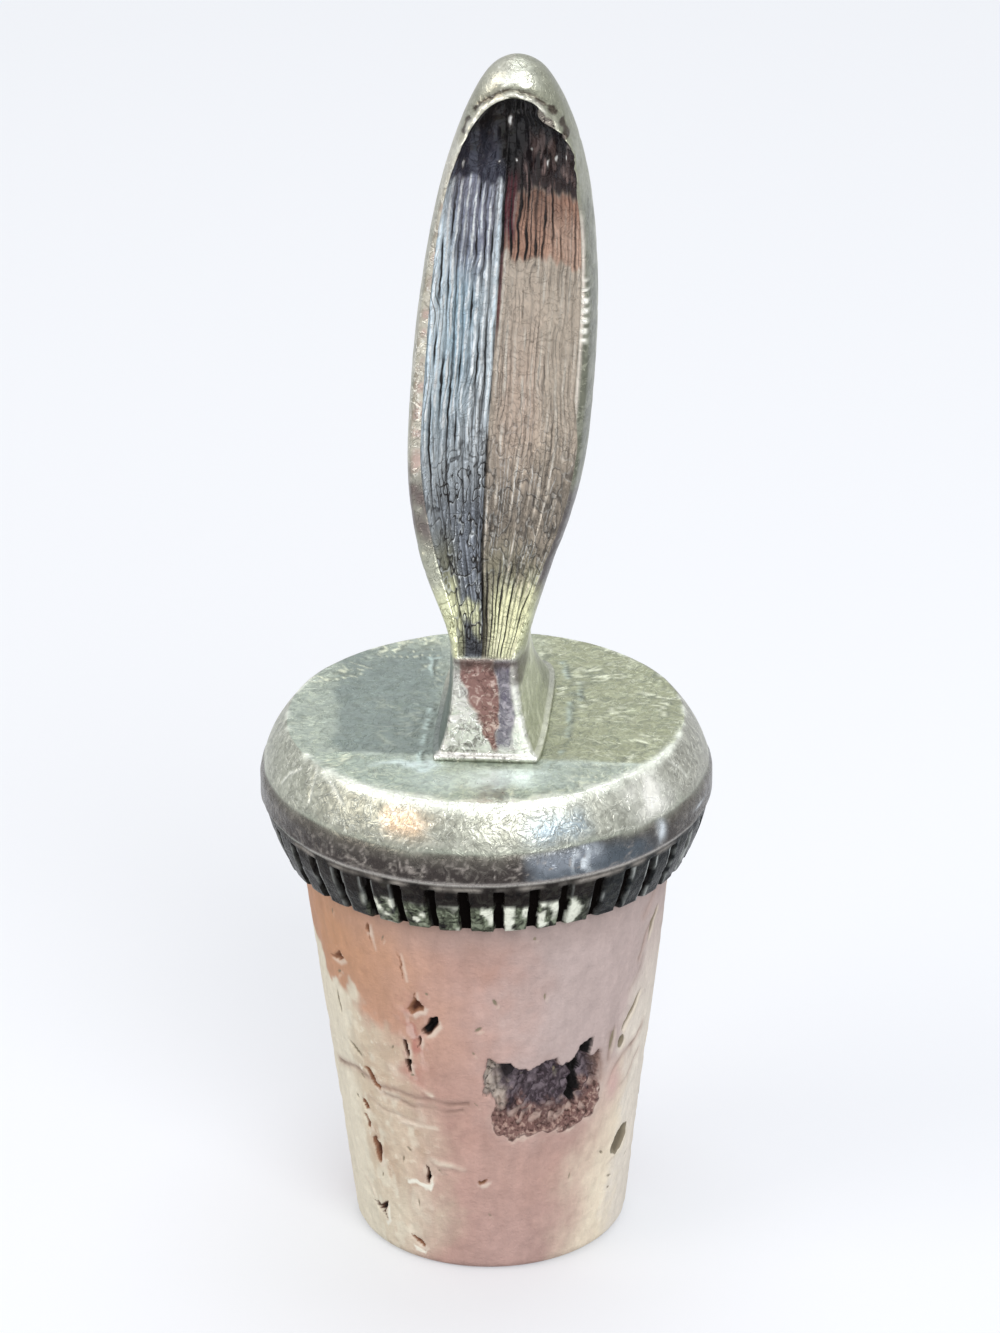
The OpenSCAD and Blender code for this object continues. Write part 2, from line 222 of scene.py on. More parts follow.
def finialSection(z):
    f = finial
    flare = flareOf(z)
    lowT = clamp01((z - neck) / (wide - neck))
    highT = clamp01((z - wide) / (tip - wide))
    halfW = byHeight(z, mix(f["neckW"], f["plinthW"] - 2 * f["ledge"], flare) / 2,
                     mix(f["neckW"], f["bladeW"], swell(lowT, 1.4, 3.4)) / 2,
                     f["bladeW"] / 2 * arch(z, wide, tip + f["tipBlunt"], 2)
                     * arch(z, tip - f["tipRound"], tip, 4))
    halfW = halfW * (1 - f["tipSlim"] * highT ** 6)
    spine = (f["bellyBack"] - f["rimFront"]) / 2 - f["curl"] * highT ** 2.6
    halfL = (f["bellyBack"] + f["rimFront"]) / 2 * arch(z, wide, tip, 4)
    plinthY = f["plinthL"] / 2 - f["ledge"]
    front = byHeight(z, -mix(f["neckFront"], plinthY - f["footBack"], flare),
                     -mix(f["neckFront"], f["rimFront"], swell(lowT, 1, 2.2)), spine - halfL)
    back = byHeight(z, mix(f["neckBack"], plinthY + f["footBack"], flare),
                    mix(f["neckBack"], f["bellyBack"], swell(lowT, 1, 2)), spine + halfL)
    rise = clamp01((z - neck) / bladeH)
    settle = clamp01((z - neck) / f["settle"])
    lean = f["lean"] * (1 - (1 - rise) ** 1.15) + f["footRight"] * (1 + np.cos(np.pi * settle)) / 2
    lean = lean - f["tipLeft"] * highT ** 4
    rimIn = f["rimRound"] * (1 - 0.6 * highT ** 3)
    mouth = byHeight(z, f["mouthNeckW"] / 2, mix(f["mouthNeckW"], f["mouthW"], swell(lowT, 1.9, 3.7)) / 2,
                     np.minimum(f["mouthW"] / 2 * arch(z, wide, lip, 3.4), halfW - rimIn))
    rim = byHeight(z, halfW - f["flankIn"] * mix(1, 0.5, flare),
                   halfW - mix(f["flankIn"], f["rimRound"], lowT),
                   np.maximum(mouth + 0.05, halfW * (1 - highT ** 5) - rimIn))
    depth = byHeight(z, 0.0 * z, f["depth"] * swell(lowT, 1, 2.6), f["depth"] * arch(z, wide, lip, 5))
    square = byHeight(z, mix(2.6, 7, flare), 2.6 - 0.4 * lowT, 2.2)
    ribbed = np.where(depth > 0, mouth, 0.8 * np.minimum(f["mouthNeckW"] / 2, rim))
    # the hollow runs out nearly to the right edge below the widest height
    toRight = f["mouthRight"] * np.sin(np.pi * lowT) * (z < wide) * (z > neck)
    ribbedRight = np.minimum(ribbed + toRight, np.maximum(ribbed, rim - 0.06))
    # the right side of the mouth is chipped under the hood
    chip = 0.29 + 0.13 * softNoise(z * 1.9, 0 * z, 0 * z, 61) + 0.05 * softNoise(z * 5.0, 0 * z, 0 * z, 62)
    ribbedRight = (ribbedRight + (chip * ease(70.0, 72.5, z) - 0.85 * between(74.5, 75.6, 0.45, z))
                   * ease(lip, lip - 0.8, z))
    return halfW, front, back, lean, mouth, rim, depth, square, ribbed, ribbedRight


def finialHeights():
    f = finial
    foot = mix(capTop + f["plinthH"], neck, np.linspace(0, 1, f["footRows"])[:-1])
    low = mix(neck, wide, np.linspace(0, 1, f["lowRows"])[:-1])
    high = mix(wide, lip, 1 - (1 - np.linspace(0, 0.998, f["highRows"])) ** 1.6)
    hood = mix(lip, tip, np.sin(np.linspace(0, 0.985, f["hoodRows"]) * math.pi / 2))
    return np.concatenate([foot, low, high, hood])


# painted highlights under the hood: place from the middle, height, width and how much taller than wide
hoodHighlightSpots = [(-0.35, 74.3, 0.13, 3.2), (0.05, 71.55, 0.11, 1.2), (2.5, 72.3, 0.09, 3.0),
               (1.0, 72.5, 0.10, 1.3), (3.1, 72.5, 0.06, 4.0), (-2.95, 71.9, 0.07, 5.0),
               (-0.95, 71.4, 0.08, 1.1), (2.0, 71.7, 0.09, 4.0)]

# rough bare places inside the lip's right corner, given the same way
flakes = [(2.2, 75.1, 0.30, 1.6), (2.8, 74.2, 0.24, 2.6), (3.2, 73.2, 0.12, 3.0)]

# dark nicks along the lip
lipNicks = [[(1.3, 76.2), (1.9, 75.8), (2.4, 75.3)], [(2.75, 74.8), (3.1, 74.0)],
            [(-1.75, 76.0), (-2.3, 75.5)], [(-2.65, 74.9), (-2.95, 74.1)]]


# heights where the hollow's sheens change
sheens = {"fan": (44.5, 47.0), "copper": (65.0, 65.5), "umber": (69.3, 69.9), "hood": (70.2, 71.6),
          "rubbedOut": (71.8, 73.2)}


def rightSheens(t, px, pz, n, bite, fineBite, ragged, comb, underHood):
    # the right half: painted reflections in tan, copper and dark brown above it; a dark fan of ribs at the
    # neck
    patchy = softNoise(n * 1.7, pz * 0.6, 2.0, 46)
    wormy = mix(0.15, 0.9, ease(59.0, 50.0, ragged)) * ease(44.0, 46.0, pz)
    umber = ease(*sheens["umber"], comb - 0.45 * t)
    coppery = ease(*sheens["copper"], comb + 0.5 * (ragged - pz)) * (1 - umber)
    striped = 1 - ease(*sheens["fan"], ragged)
    belowHood = 1 - ease(*sheens["rubbedOut"], pz)
    reflectedBands = np.maximum(coppery, ease(*sheens["umber"], comb)) * belowHood
    fewer = mix(1.0, 0.3, ease(0.45, 0.75, t + 0.15 * softNoise(px, pz, 1.0, 71)))
    masks = {"tan": 1.0 + 0 * px, "copper": coppery}
    masks["ribDark"] = np.maximum(0.34 * bite, np.maximum(striped, reflectedBands * fewer) * clamp01(bite + 0.2))
    masks["ribDark"] = masks["ribDark"] * belowHood
    masks["halfDark"] = (reflectedBands * mix(0.4, 1.0, fewer)
                         * clamp01(0.65 + 0.9 * softNoise(n * 2.3, pz * 0.35, 4.0, 63)) * 0.9)
    masks["fineDark"] = 0.5 * fineBite * (1 - reflectedBands) * ease(44.5, 46.0, pz) * (1 - underHood)
    masks["wormDark"] = 0.5 * wormy
    masks["tintDark"] = (np.maximum(reflectedBands * fewer, 0.85 * striped * ease(1.0, 0.7, t))
                         * clamp01(bite + 0.3))
    # wormLight, fineLight and ribLight are painted highlights on the crests
    masks["wormLight"] = wormy * 0.28
    masks["fineLight"] = 0.4 * wormy * clamp01(1.4 * softNoise(n * 1.3, pz * 0.7, 4.0, 77))
    masks["ribLight"] = (clamp01(0.2 + 1.3 * patchy) * (1 - 0.7 * coppery) * ease(69.5, 69, pz)
                         * mix(0.9, 0.5, striped))
    masks["peach"] = coppery * ease(0.4, 0.8, t) * ease(69.5, 67.5, ragged)
    masks["garnet"] = ease(0.21, 0.12, t) * ease(65.0, 67.0, ragged) * ease(71.5, 70.0, ragged)
    masks["garnet"] = np.maximum(masks["garnet"], 0.9 * ease(0.06, 0.02, t) * ease(58.5, 61.0, ragged))
    masks["umber"] = np.maximum(umber, 0.5 * ease(66.5, 69.3, ragged) * ease(1.0, 0.3, t))
    drops = 2.4 * softNoise(px * 3.4, pz * 0.7, 3.0, 44) + 1.2 * softNoise(px * 6.5, pz * 1.8, 3.0, 45)
    masks["drip"] = (ease(69.4, 70.0, comb) * between(0.15, 0.97, 0.05, t) * ease(74.4, 73.0, ragged)
                     * clamp01(drops - 0.2))
    masks["rose"] = bell(pz, 56.0, 5.5) * between(0.08, 0.55, 0.12, t) * 0.5
    masks["taupe"] = ease(54.0, 48.5, ragged - 1.5 * t) * 0.95
    masks["moss"] = 0.75 * ease(48.5, 45.0, ragged)
    masks["straw"] = ease(44.8, 43.0, ragged - 2.2 * t) * ease(0.05, 0.4, t)
    # pit and seam are painted shade in the recess at the neck and along the crease
    pit = ease(0.16, 0.02, t) * ease(46.0, 43.5, ragged) * ease(40.9, 41.4, pz) * 0.8
    seam = ease(mix(0.035, 0.075, ease(51, 45, pz)), 0.0, t) * ease(55, 51, pz) * ease(42.5, 44, pz)
    masks["soot"] = np.maximum(pit, seam * 0.9)
    rib = mix(0.40, 1.0, np.maximum(ease(64, 66, pz), ease(47, 43.5, pz)))
    return masks, wormy, rib


def leftSheens(t, px, pz, n, bite, fineBite, ragged, comb, groove, field):
    # the left half: painted reflections in steel blue and icy blue, navy under the hood; worm-like marks
    # below
    wormy = mix(0.10, 1.0, ease(56.5, 49.0, ragged)) * ease(41.8, 42.4, pz)
    masks = {"steel": 1.0 + 0 * px}
    masks["navy"] = ease(69.7, 70.05, comb - 1.4 * t)
    masks["ribDark"] = bite * (1 - masks["navy"])
    masks["fineDark"] = mix(0.7, 1.0, wormy) * fineBite * (1 - masks["navy"])
    masks["wormDark"] = wormy * mix(1.0, 0.5, ease(0.65, 0.85, t))
    # ribLight, fineLight and wormLight are painted highlights on the crests
    bright = ease(50.5, 55.5, ragged) * ease(70.1, 69.7, comb - 1.4 * t)
    masks["ribLight"] = bright * clamp01(0.8 + 1.2 * softNoise(n * 2.4, pz * 1.4, 6.0, 14))
    masks["fineLight"] = bright * clamp01(0.25 + 1.6 * softNoise(n * 1.6, pz * 1.2, 1.0, 64))
    masks["wormLight"] = 0.6 * wormy
    # a painted highlight along the outer edge and beside the crease
    edgeBand = (ease(mix(0.46, 0.62, clamp01((pz - 57) / 10)), 0.86, t) * ease(54, 59, pz)
                * ease(70.0, 67.0, pz))
    beside = bell(t, 0.05, 0.03) * ease(53.0, 56.0, pz) * ease(69.8, 69, ragged)
    masks["frost"] = clamp01(edgeBand * (1 - groove) + beside)
    masks["icy"] = bell(pz, 61.0, 6.0) * ease(0.0, 0.7, t)
    masks["violet"] = ease(62.5, 66.5, ragged) * ease(0.06, 0.2, t) * ease(0.97, 0.78, t) * 0.75
    masks["charcoal"] = ease(53.5, 49.0, ragged + 1.2 * t) * mix(1.0, 0.45, ease(0.6, 0.98, t))
    # seam and low are painted shade along the crease and in the recess at the neck
    seam = 0.6 * ease(0.05, 0.0, t) * ease(54, 51, pz)
    masks["moss"] = ease(44, 45.5, ragged) * ease(49.5, 47, ragged) * ease(0.45, 0.8, t) * 0.8
    masks["straw"] = 0.85 * between(42.3, 43.5, 0.3, ragged - 0.9 * t) * ease(0.02, 0.12, t)
    masks["straw"] = np.maximum(masks["straw"], ease(46.6, 45.0, ragged) * ease(0.62, 0.8, t))
    low = ease(43.3, 41.7, ragged - 0.3 * t + 0.1 * field) * ease(40.9, 41.2, pz)
    masks["soot"] = np.maximum(low * ease(1.0, 0.95, t) * 0.8, seam * 0.9)
    rib = mix(0.75, 1.0, ease(52, 58, pz))
    return masks, wormy, rib


def troughHalf(z, sideSign, count, front, crease, edge, depth):
    # one half of the hollow, from the crease to the rim: its floor, its ribs, its tones and painted
    # reflections
    f = finial
    t = (np.arange(count) + 0.5) / count
    px = mix(crease, edge, t)
    t = t + 0 * px
    pz = z + 0 * px
    right = sideSign > 0
    ribs = f["ribsRight"] if right else f["ribsLeft"]
    grooveW = f["grooveRight"] if right else f["grooveLeft"]
    widest = f["mouthW"] / 2 + sideSign * f["creaseLeft"]
    span = np.abs(edge - crease)
    reach = np.where(z < wide, span, np.maximum(span, 0.02) ** 0.45 * widest ** 0.55)
    n = ribs * np.abs(px - crease) / reach
    waver = (0.13 * softNoise(n * 0.9, pz * 0.35, 5.0 * sideSign, 3)
             + 0.06 * softNoise(n * 2.1, pz * 1.5, 2.0, 4))
    waver = waver + 0.05 * softNoise(n * 2.6, pz * 3.4, 6.0, 29)
    waver = waver + 0.16 * softNoise(n * 0.8, pz * 0.7, 2.0, 78) * ease(64.0, 66.0, pz) * right
    waver = waver + 0.26 * softNoise(n * 0.9, pz * 0.8, 2.0, 91) * ease(47.0, 45.0, pz) * right
    phase = n + waver                                            # a groove lies at every whole number
    finePhase = 2 * n + 1.7 * waver + 0.9 * softNoise(px, pz * 0.5, 3.0, 8)
    toLine = np.abs((phase + 0.5) % 1 - 0.5) * reach / ribs
    bite = clamp01(0.62 + 0.8 * softNoise(np.round(phase) * 3.7, pz * 0.5, 9.0, 5))
    groove = bell(toLine, 0, grooveW) * bite
    fineBite = clamp01(0.35 + 1.1 * softNoise(px * 1.6, pz * 0.45, 4.0, 9))
    field = softNoise(px * 3.6, pz * 1.5, 1.0, 6) + 0.5 * softNoise(px * 6.8, pz * 3.0, 3.0, 7)
    worm = bell(field, 0, 0.15)
    ragged = pz + 0.5 * softNoise(px * 0.9, pz * 0.5, 7.0, 10) + 0.3 * softNoise(px * 2.6, pz * 1.1, 7.0, 13)
    # the tinted zones end in short tongues along the ribs
    comb = pz + 0.35 * softNoise(n * 2.2, 0 * pz, 3.0, 30)
    hollow = depth * (1 - 0.6 * t - 0.4 * t ** 3)
    inDepth = np.minimum(1, depth / 1.2) * ease(neck + 0.2, neck + 1.4, z)
    inside = ease(neck + 0.05, neck + 0.35, z) * (hollow > 0.01)
    underHood = ease(*sheens["hood"], pz)
    if right:
        masks, wormy, rib = rightSheens(t, px, pz, n, bite, fineBite, ragged, comb, underHood)
    else:
        masks, wormy, rib = leftSheens(t, px, pz, n, bite, fineBite, ragged, comb, groove, field)
    height = f["ribHeight"] * rib * (1 - groove) - f["wormDepth"] * worm * wormy
    height = height + 0.03 * softNoise(px * 3.5, pz * 2.5, 2.0, 15)
    smooth = 1 - underHood * mix(0.95, 0.6, right)
    drips = ((0.30 * softNoise(px * 1.5, pz * 0.5, 8.0, 16) + 0.10 * softNoise(px * 3.6, pz * 1.6, 8.0, 47))
             * underHood)
    floorY = (front + hollow - (height * inDepth * smooth + drips) * ease(1.0, 0.93, t)
              * clamp01(hollow / 0.3))
    # painted shade: the roof inside the hood is painted black
    masks["hoodBlack"] = ease(71.3 + 0.7 * (not right), 74.0 + 0.6 * (not right),
                              ragged + 2.5 * ease(0.3, 0.0, t))
    masks["hoodBlack"] = masks["hoodBlack"] * ease(1.0, 0.985, t)
    masks["gloss"] = underHood
    # painted highlights on the roof's lumps
    shiftX = px + 0.07 * softNoise(px * 5, pz * 4, 0.0, 72)
    masks["rubbed"] = strongest([bell(shiftX, a, w) * bell(pz, h, w * tall)
                                 for a, h, w, tall in hoodHighlightSpots])
    flake = strongest([bell(shiftX, a, w) * bell(pz, h, w * tall) for a, h, w, tall in flakes])
    masks["flake"] = flake * clamp01(0.5 + 1.3 * softNoise(px * 4.0, pz * 3.0, 2.0, 76))
    masks = {k: v * inside for k, v in masks.items()}
    masks["film"] = inside * 1.0
    masks.update({"ribPhase": phase, "finePhase": finePhase, "wormField": field})
    return px, floorY, masks


def outerHalf(inner, rim, halfW, front, back, midY, square):
    # half of the skin, from the hollow's edge to the back
    flat = np.linspace(0, 1, 6)
    a = np.linspace(0, 1, 11)[1:] * math.pi / 2
    b = np.linspace(0, 1, 19)[1:] * math.pi / 2
    outX = np.concatenate([mix(inner, rim, flat), mix(rim, halfW, np.sin(a)),
                           halfW * np.cos(b) ** (2 / square)], 1)
    outY = np.concatenate([front + 0 * flat, mix(midY, front, np.cos(a)),
                           mix(midY, back, np.sin(b) ** (2 / square))], 1)
    outX[:, -1] = 0
    return outX, outY


def lipFields(px, pz, inFront, outside):
    # the lip is a thin bead round the top of the mouth with a groove outside it
    f = finial
    u = np.abs(px) / (f["mouthW"] / 2)
    w = np.maximum(0, (pz - wide) / (lip - wide))
    slope = np.hypot(2 * u / (f["mouthW"] / 2), 3.4 * w ** 2.4 / (lip - wide)) + 0.02
    away = (u ** 2 + w ** 3.4 - 1) / slope + 0.10 * softNoise(px * 1.1, pz * 1.1, 0.0, 17)
    away = away + 0.06 * softNoise(px * 3.0, pz * 3.0, 0.0, 48)
    nearLip = ease(70.5, 73.5, pz) * inFront * outside
    broken = clamp01(0.6 + 1.3 * softNoise(px * 1.4, pz * 1.4, 3.0, 49))
    bead = bell(away, 0.09, 0.09) * nearLip * mix(1.0, broken, ease(0.5, 2.0, px))
    groove = bell(away, 0.31, 0.13) * nearLip * between(-1.8, 1.6, 0.5, px) * mix(0.7, 1.0, broken)
    nick = strongest([bell(toStroke(px, pz, line), 0, 0.15) for line in lipNicks])
    groove = np.maximum(groove, ease(0.35, 0.8, nick + 0.4 * softNoise(px * 3.2, pz * 3.2, 1.0, 65))
                        * inFront * outside)
    return away, bead, groove


def buildFinial():
    f = finial
    zs = finialHeights()
    z = np.concatenate([[capTop, capTop + f["plinthH"] - 0.06, capTop + f["plinthH"]], zs])[:, None]
    ledge = np.concatenate([[f["ledge"], f["ledge"], f["ledge"] - 0.06], 0 * zs])[:, None]
    zShape = np.maximum(z, capTop + f["plinthH"])
    halfW, front, back, lean, mouth, rim, depth, square, ribbed, ribbedRight = finialSection(zShape)
    halfW = halfW + ledge
    front = front - ledge
    back = back + ledge
    rim = rim + ledge
    midY = mix(front, back, f["widestBack"])
    crease = -f["creaseLeft"] * ribbed / (f["mouthW"] / 2)
    rightHalf = troughHalf(zShape, 1, f["rightColumns"], front, crease, ribbedRight, depth)
    leftHalf = troughHalf(zShape, -1, f["leftColumns"], front, crease, -ribbed, depth)
    rimRight = np.maximum(rim, ribbedRight + 0.05)
    rightX, rightY = outerHalf(ribbedRight, rimRight, halfW, front, back, midY, square)
    leftX, leftY = outerHalf(ribbed, rim, halfW, front, back, midY, square)
    px = np.concatenate([rightHalf[0], rightX, -leftX[:, -2::-1], leftHalf[0][:, ::-1]], 1)
    py = np.concatenate([rightHalf[1], rightY, leftY[:, -2::-1], leftHalf[1][:, ::-1]], 1)
    pz = z + 0 * px
    skin = np.zeros((len(z), 2 * rightX.shape[1] - 1))
    masks = {}
    for name in sorted(set(rightHalf[2]) | set(leftHalf[2])):
        parts = [half[2].get(name, 0 * half[0]) for half in (rightHalf, leftHalf)]
        masks[name] = np.concatenate([parts[0], skin, parts[1][:, ::-1]], 1)
    outside = np.concatenate([0 * rightHalf[0], skin + 1, 0 * leftHalf[0]], 1)
    outside = np.where(depth > 0, outside, 1.0)
    # the hood is crowned, not flat, above the mouth
    crown = midY + (front - midY) * (1 - clamp01(np.abs(px) / halfW) ** 2.2) ** (1 / 2.2)
    crowned = np.where(outside > 0, crown, py + crown - front)
    py = np.where(py < midY, mix(py, crowned, ease(73.2, 77.0, pz)), py)
    away, bead, groove = lipFields(px, pz, py < midY, outside)
    py = py - f["lipBead"] * bead + 0.12 * groove
    # soft dents of the cast and hand-finished skin, always inwards
    dent = clamp01(softNoise(px * 0.7, py * 0.7, pz * 0.6, 11) * 0.6
                   + softNoise(px * 1.6, py * 1.6, pz * 1.4, 12) * 0.4)
    notches = 0.16 * clamp01(softNoise(px * 0.5, 0.0, pz * 2.0, 18) - 0.2) * bell(np.abs(px), rim, 0.35)
    shrink = (f["dent"] * dent + notches) * outside * ease(capTop + 0.4, capTop + 1.0, pz)
    centreY = 0.5 * (front + back) + 0 * py
    reach = np.hypot(px, py - centreY) + 1e-6
    film = masks["film"]
    masks.update(skinMasks(px, py, pz, outside, rim, mouth, front, midY, halfW, away))
    masks["film"] = np.maximum(film, masks["film"])
    masks["rawLip"] = (outside * (py < midY) * ease(0.03, -0.05, away) * between(73.5, 76.2, 0.3, pz)
                       * (px > 0.5))
    # painted highlight on the lip's bead; painted shade in the groove above it, with the dark nicks
    masks["lipBeadHighlight"] = bead
    masks["lipShadeAndNicks"] = groove
    px = px * (1 - shrink / reach) + lean
    py = centreY + (py - centreY) * (1 - shrink / reach)
    angle = math.radians(f["turn"])
    rows = np.stack([px * math.cos(angle) - py * math.sin(angle),
                     px * math.sin(angle) + py * math.cos(angle), pz], 2)
    tipX = float(lean[-1, 0])
    tipY = float((0.5 * (front + back))[-1, 0])
    high = [tipX * math.cos(angle) - tipY * math.sin(angle),
            tipX * math.sin(angle) + tipY * math.cos(angle), tip]
    return buildPiece("finialCasting", rows, "finial", masks, [0.55, 0.65, capTop], high)


# the foot's front face, as shares of its height and of its half width
footShares = [0.0, 0.10, 0.45, 0.85, 1.0]
redFrom = [0.20, 0.12, -0.20, -0.66, -0.70]
redTo = [0.26, 0.29, 0.26, 0.31, 0.30]
lilacTo = [0.36, 0.46, 0.72, 0.92, 0.95]


def skinMasks(px, py, pz, outside, rim, mouth, front, midY, halfW, away):
    # where each tone of the outer skin lies: rims, hood, flanks and the foot's faces
    f = finial
    turn = np.where(outside > 0, px / np.maximum(halfW, 0.3), 0)
    z = pz + 0.5 * softNoise(px * 0.9, py * 0.9, pz * 0.8, 19)
    small = softNoise(px * 1.9, py * 1.9, pz * 1.7, 50)
    left = ease(-0.1, -0.35, turn) * outside
    right = ease(0.1, 0.35, turn) * outside
    frontal = ease(0.9, 0.05, py - front) * outside           # the flat of the rim
    ahead = ease(1.0, 0.1, (py - front) / (midY - front + 1e-6) - 0.4 + 0.3 * small)
    blade = ease(neck - 0.3, neck + 0.6, pz)
    masks = {}
    masks["creamRim"] = left * blade * ease(51.3, 53.3, z) * mix(0.55, 1.0, frontal)
    masks["outerLeft"] = (left * blade * ahead * ease(-0.88, -0.96, turn) * clamp01(0.7 + 0.7 * small)
                          * ease(72, 70, z))
    masks["pinkRim"] = left * blade * frontal * between(50.5, 70.0, 1.0, z) * clamp01(1.6 * small + 0.3)
    masks["mauve"] = (left * ahead ** 1.4 * between(48.0, 52.3, 0.9, z) * mix(1.0, 0.85, frontal)
                      * clamp01(1.0 + 0.6 * small))
    masks["darkFlank"] = right * ahead * between(51.0, 70.8, 1.5, z) * (1 - 0.35 * (small > 0.2))
    masks["slate"] = right * ahead * between(44.2, 51.5, 0.8, z)
    masks["paleRim"] = bell(px, mouth + 0.10, 0.11) * right * frontal * between(50.5, 69.5, 1.5, z)
    masks["neckStraw"] = (outside * ease(neck - 0.2, neck + 0.5, z) * ease(46.0, 43.6, z)
                          * mix(0.35, 1.0, frontal))
    hood = outside * (py < midY) * ease(0.55, 0.8, away + 0.1 * small)
    masks["hoodShade"] = (outside * ease(72.0 - 3.5 * right, 74.5 - 3.5 * right, z)
                          * mix(0.65, 1.0, ease(0.0, 1.6, px)))
    # painted highlight on the top of the hood
    masks["hoodTopHighlight"] = hood * clamp01(bell(px, -0.15, 1.1) * bell(pz, 76.7, 1.2) * (1 + 0.6 * small))
    masks["rimGlint"] = (bell(px, mouth + 0.26, 0.20) * right * frontal * between(60.6, 64.8, 0.3, pz)
                         * ease(0.0, 0.5, np.sin(pz * 2 * math.pi / 0.66) + 0.5 * small))
    foot = ease(neck + 0.15, neck - 0.1, pz) * ease(capTop, capTop + 0.3, pz)
    share = clamp01((pz - capTop) / f["footH"])
    across = px / np.maximum(halfW, 0.3) + 0.08 * softNoise(px * 1.4, pz * 1.4, 0.0, 20) + 0.04 * small
    face = foot * (py < front + 0.25)
    onFace = ease(0.95, 0.88, np.abs(px) / np.maximum(rim, 0.3)) * face
    redStart = np.interp(share, footShares, redFrom)
    redEnd = np.interp(share, footShares, redTo)
    lilacEnd = np.interp(share, footShares, lilacTo)
    # the foot's front face is painted with reflections: silver, a red wedge and lilac beside it
    masks["footSilver"] = face * 1.0
    masks["footRed"] = onFace * between(redStart, redEnd, 0.05, across) * ease(0.06, 0.14, share)
    masks["footLilac"] = onFace * between(redEnd, lilacEnd, 0.05, across) * ease(0.08, 0.2, share)
    flank = foot * (1 - face) * ease(2.1, 1.5, (py - front) / (midY - front + 1e-6) + 0.3 * small)
    masks["footLeft"] = flank * ease(-0.82, -0.9, turn)
    masks["footRight"] = flank * ease(0.82, 0.9, turn)
    ripple = np.sin(py * 4.2 + 1.2 * softNoise(py * 0.9, pz * 0.6, 0.0, 51))
    masks["footRipple"] = masks["footRight"] * ease(0.45, 0.9, ripple) * clamp01(0.6 + small)
    # painted highlights along the foot's corners and the face's right margin
    corner = bell(np.abs(px), rim - 0.05, 0.17) * foot * (py < front + 0.5)
    masks["footEdgeHighlight"] = (corner * clamp01(0.6 + 0.9 * softNoise(px, pz * 1.3, 1.0, 21))
                         * mix(0.5, 1.0, px > 0))
    margin = face * ease(lilacEnd - 0.02, lilacEnd + 0.08, across)
    masks["footEdgeHighlight"] = np.maximum(masks["footEdgeHighlight"], margin * clamp01(0.75 + 1.4 * small))
    # painted shadow at the top of the foot's face and low on its right flank
    masks["footShadow"] = face * ease(neck - 0.9, neck - 0.1, pz + 0.35 * small) * 0.85
    masks["footShadow"] = np.maximum(masks["footShadow"], foot * right * ahead * between(39.6, 41.3, 0.4, z)
                                   * ease(0.5, 0.8, turn) * 0.7)
    covered = masks["footRed"] + masks["footLilac"] + masks["darkFlank"] + masks["slate"]
    masks["film"] = clamp01(covered) * 0.8
    return masks


finialCasting = buildFinial()
print("finial made")

# the cap is a cast pewter disc with a sloping shoulder, an upright side and a milled band
cap = {"sideR": 14.0, "topR": 12.3, "bandLowR": 12.5, "bandH": 3.8, "step": 0.22, "sideH": 2.0,
       "shoulderIn": 0.2, "bow": 0.22, "notches": 40, "notchW": 0.62, "notchDepth": 0.45,
       "notchTopGap": 0.55, "notchShift": 0.32, "notchJitter": 0.04, "dent": 0.06, "bandMidR": 12.9,
       "bandInR": 12.05, "perDegree": 0.23, "bandRows": 26, "sideRows": 12, "shoulderRows": 36,
       "topRows": 44}

# wrinkles of the cast shoulder, each as degrees from the front and heights
wrinkles = [[(-57, 34.6), (-55, 34.2), (-54, 33.6), (-53, 32.8)],
            [(-53, 34.5), (-48, 34.2), (-45, 33.9), (-42, 33.5)], [(-62, 34.0), (-66, 33.4), (-68, 32.6)],
            [(52, 34.5), (54, 33.8), (53, 33.0)], [(62, 34.2), (65, 33.5), (66, 32.9)]]

capLowPoint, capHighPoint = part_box("cap")
capBase = capLowPoint.z / mm
capHigh = capHighPoint.z / mm


def capProfile():  # radius and height of each row, from the middle of the underside to the middle of the top
    c = cap
    bandTop = capBase + c["bandH"]
    sideTop = bandTop + c["sideH"]
    shoulderH = capHigh - sideTop
    bandT = np.linspace(0, 1, c["bandRows"])
    bandZ = mix(capBase, bandTop, bandT)
    bandR = c["sideR"] - c["step"] - (c["sideR"] - c["step"] - c["bandLowR"]) * (1 - bandT) ** 1.5
    bandR[0] -= 0.12                       # the band's lower edge is softened
    shoulderT = np.linspace(0, 1, c["shoulderRows"])
    shoulderLow = c["sideR"] - c["shoulderIn"]
    shoulderR = mix(shoulderLow, c["topR"], shoulderT) + c["bow"] * np.sin(np.pi * shoulderT)
    shoulderZ = sideTop + shoulderH * shoulderT
    shoulderZ[-1] -= 0.05                  # and so is the flat top's edge
    sideZ = np.linspace(bandTop + c["step"], sideTop - 0.6, c["sideRows"])
    under = np.array([0.5, 4.0, 8.0, 11.0, 11.8])
    topEdge = [c["topR"] - 0.05, c["topR"] - 0.14, c["topR"] - 0.3]
    topR = np.concatenate([topEdge, np.linspace(c["topR"] - 0.5, 0.4, c["topRows"])])
    sideR = c["sideR"]
    r = np.concatenate([under, bandR, [sideR - c["step"] + 0.02, sideR - 0.06], 0 * sideZ + sideR,
                        [sideR - 0.04, sideR - 0.1], shoulderR, topR])[:, None]
    z = np.concatenate([0 * under + capBase, bandZ, [bandTop + 0.08, bandTop + c["step"] - 0.08], sideZ,
                        [sideTop - 0.4, sideTop - 0.18], shoulderZ, 0 * topR + capHigh])[:, None]
    return bandTop, sideTop, r, z


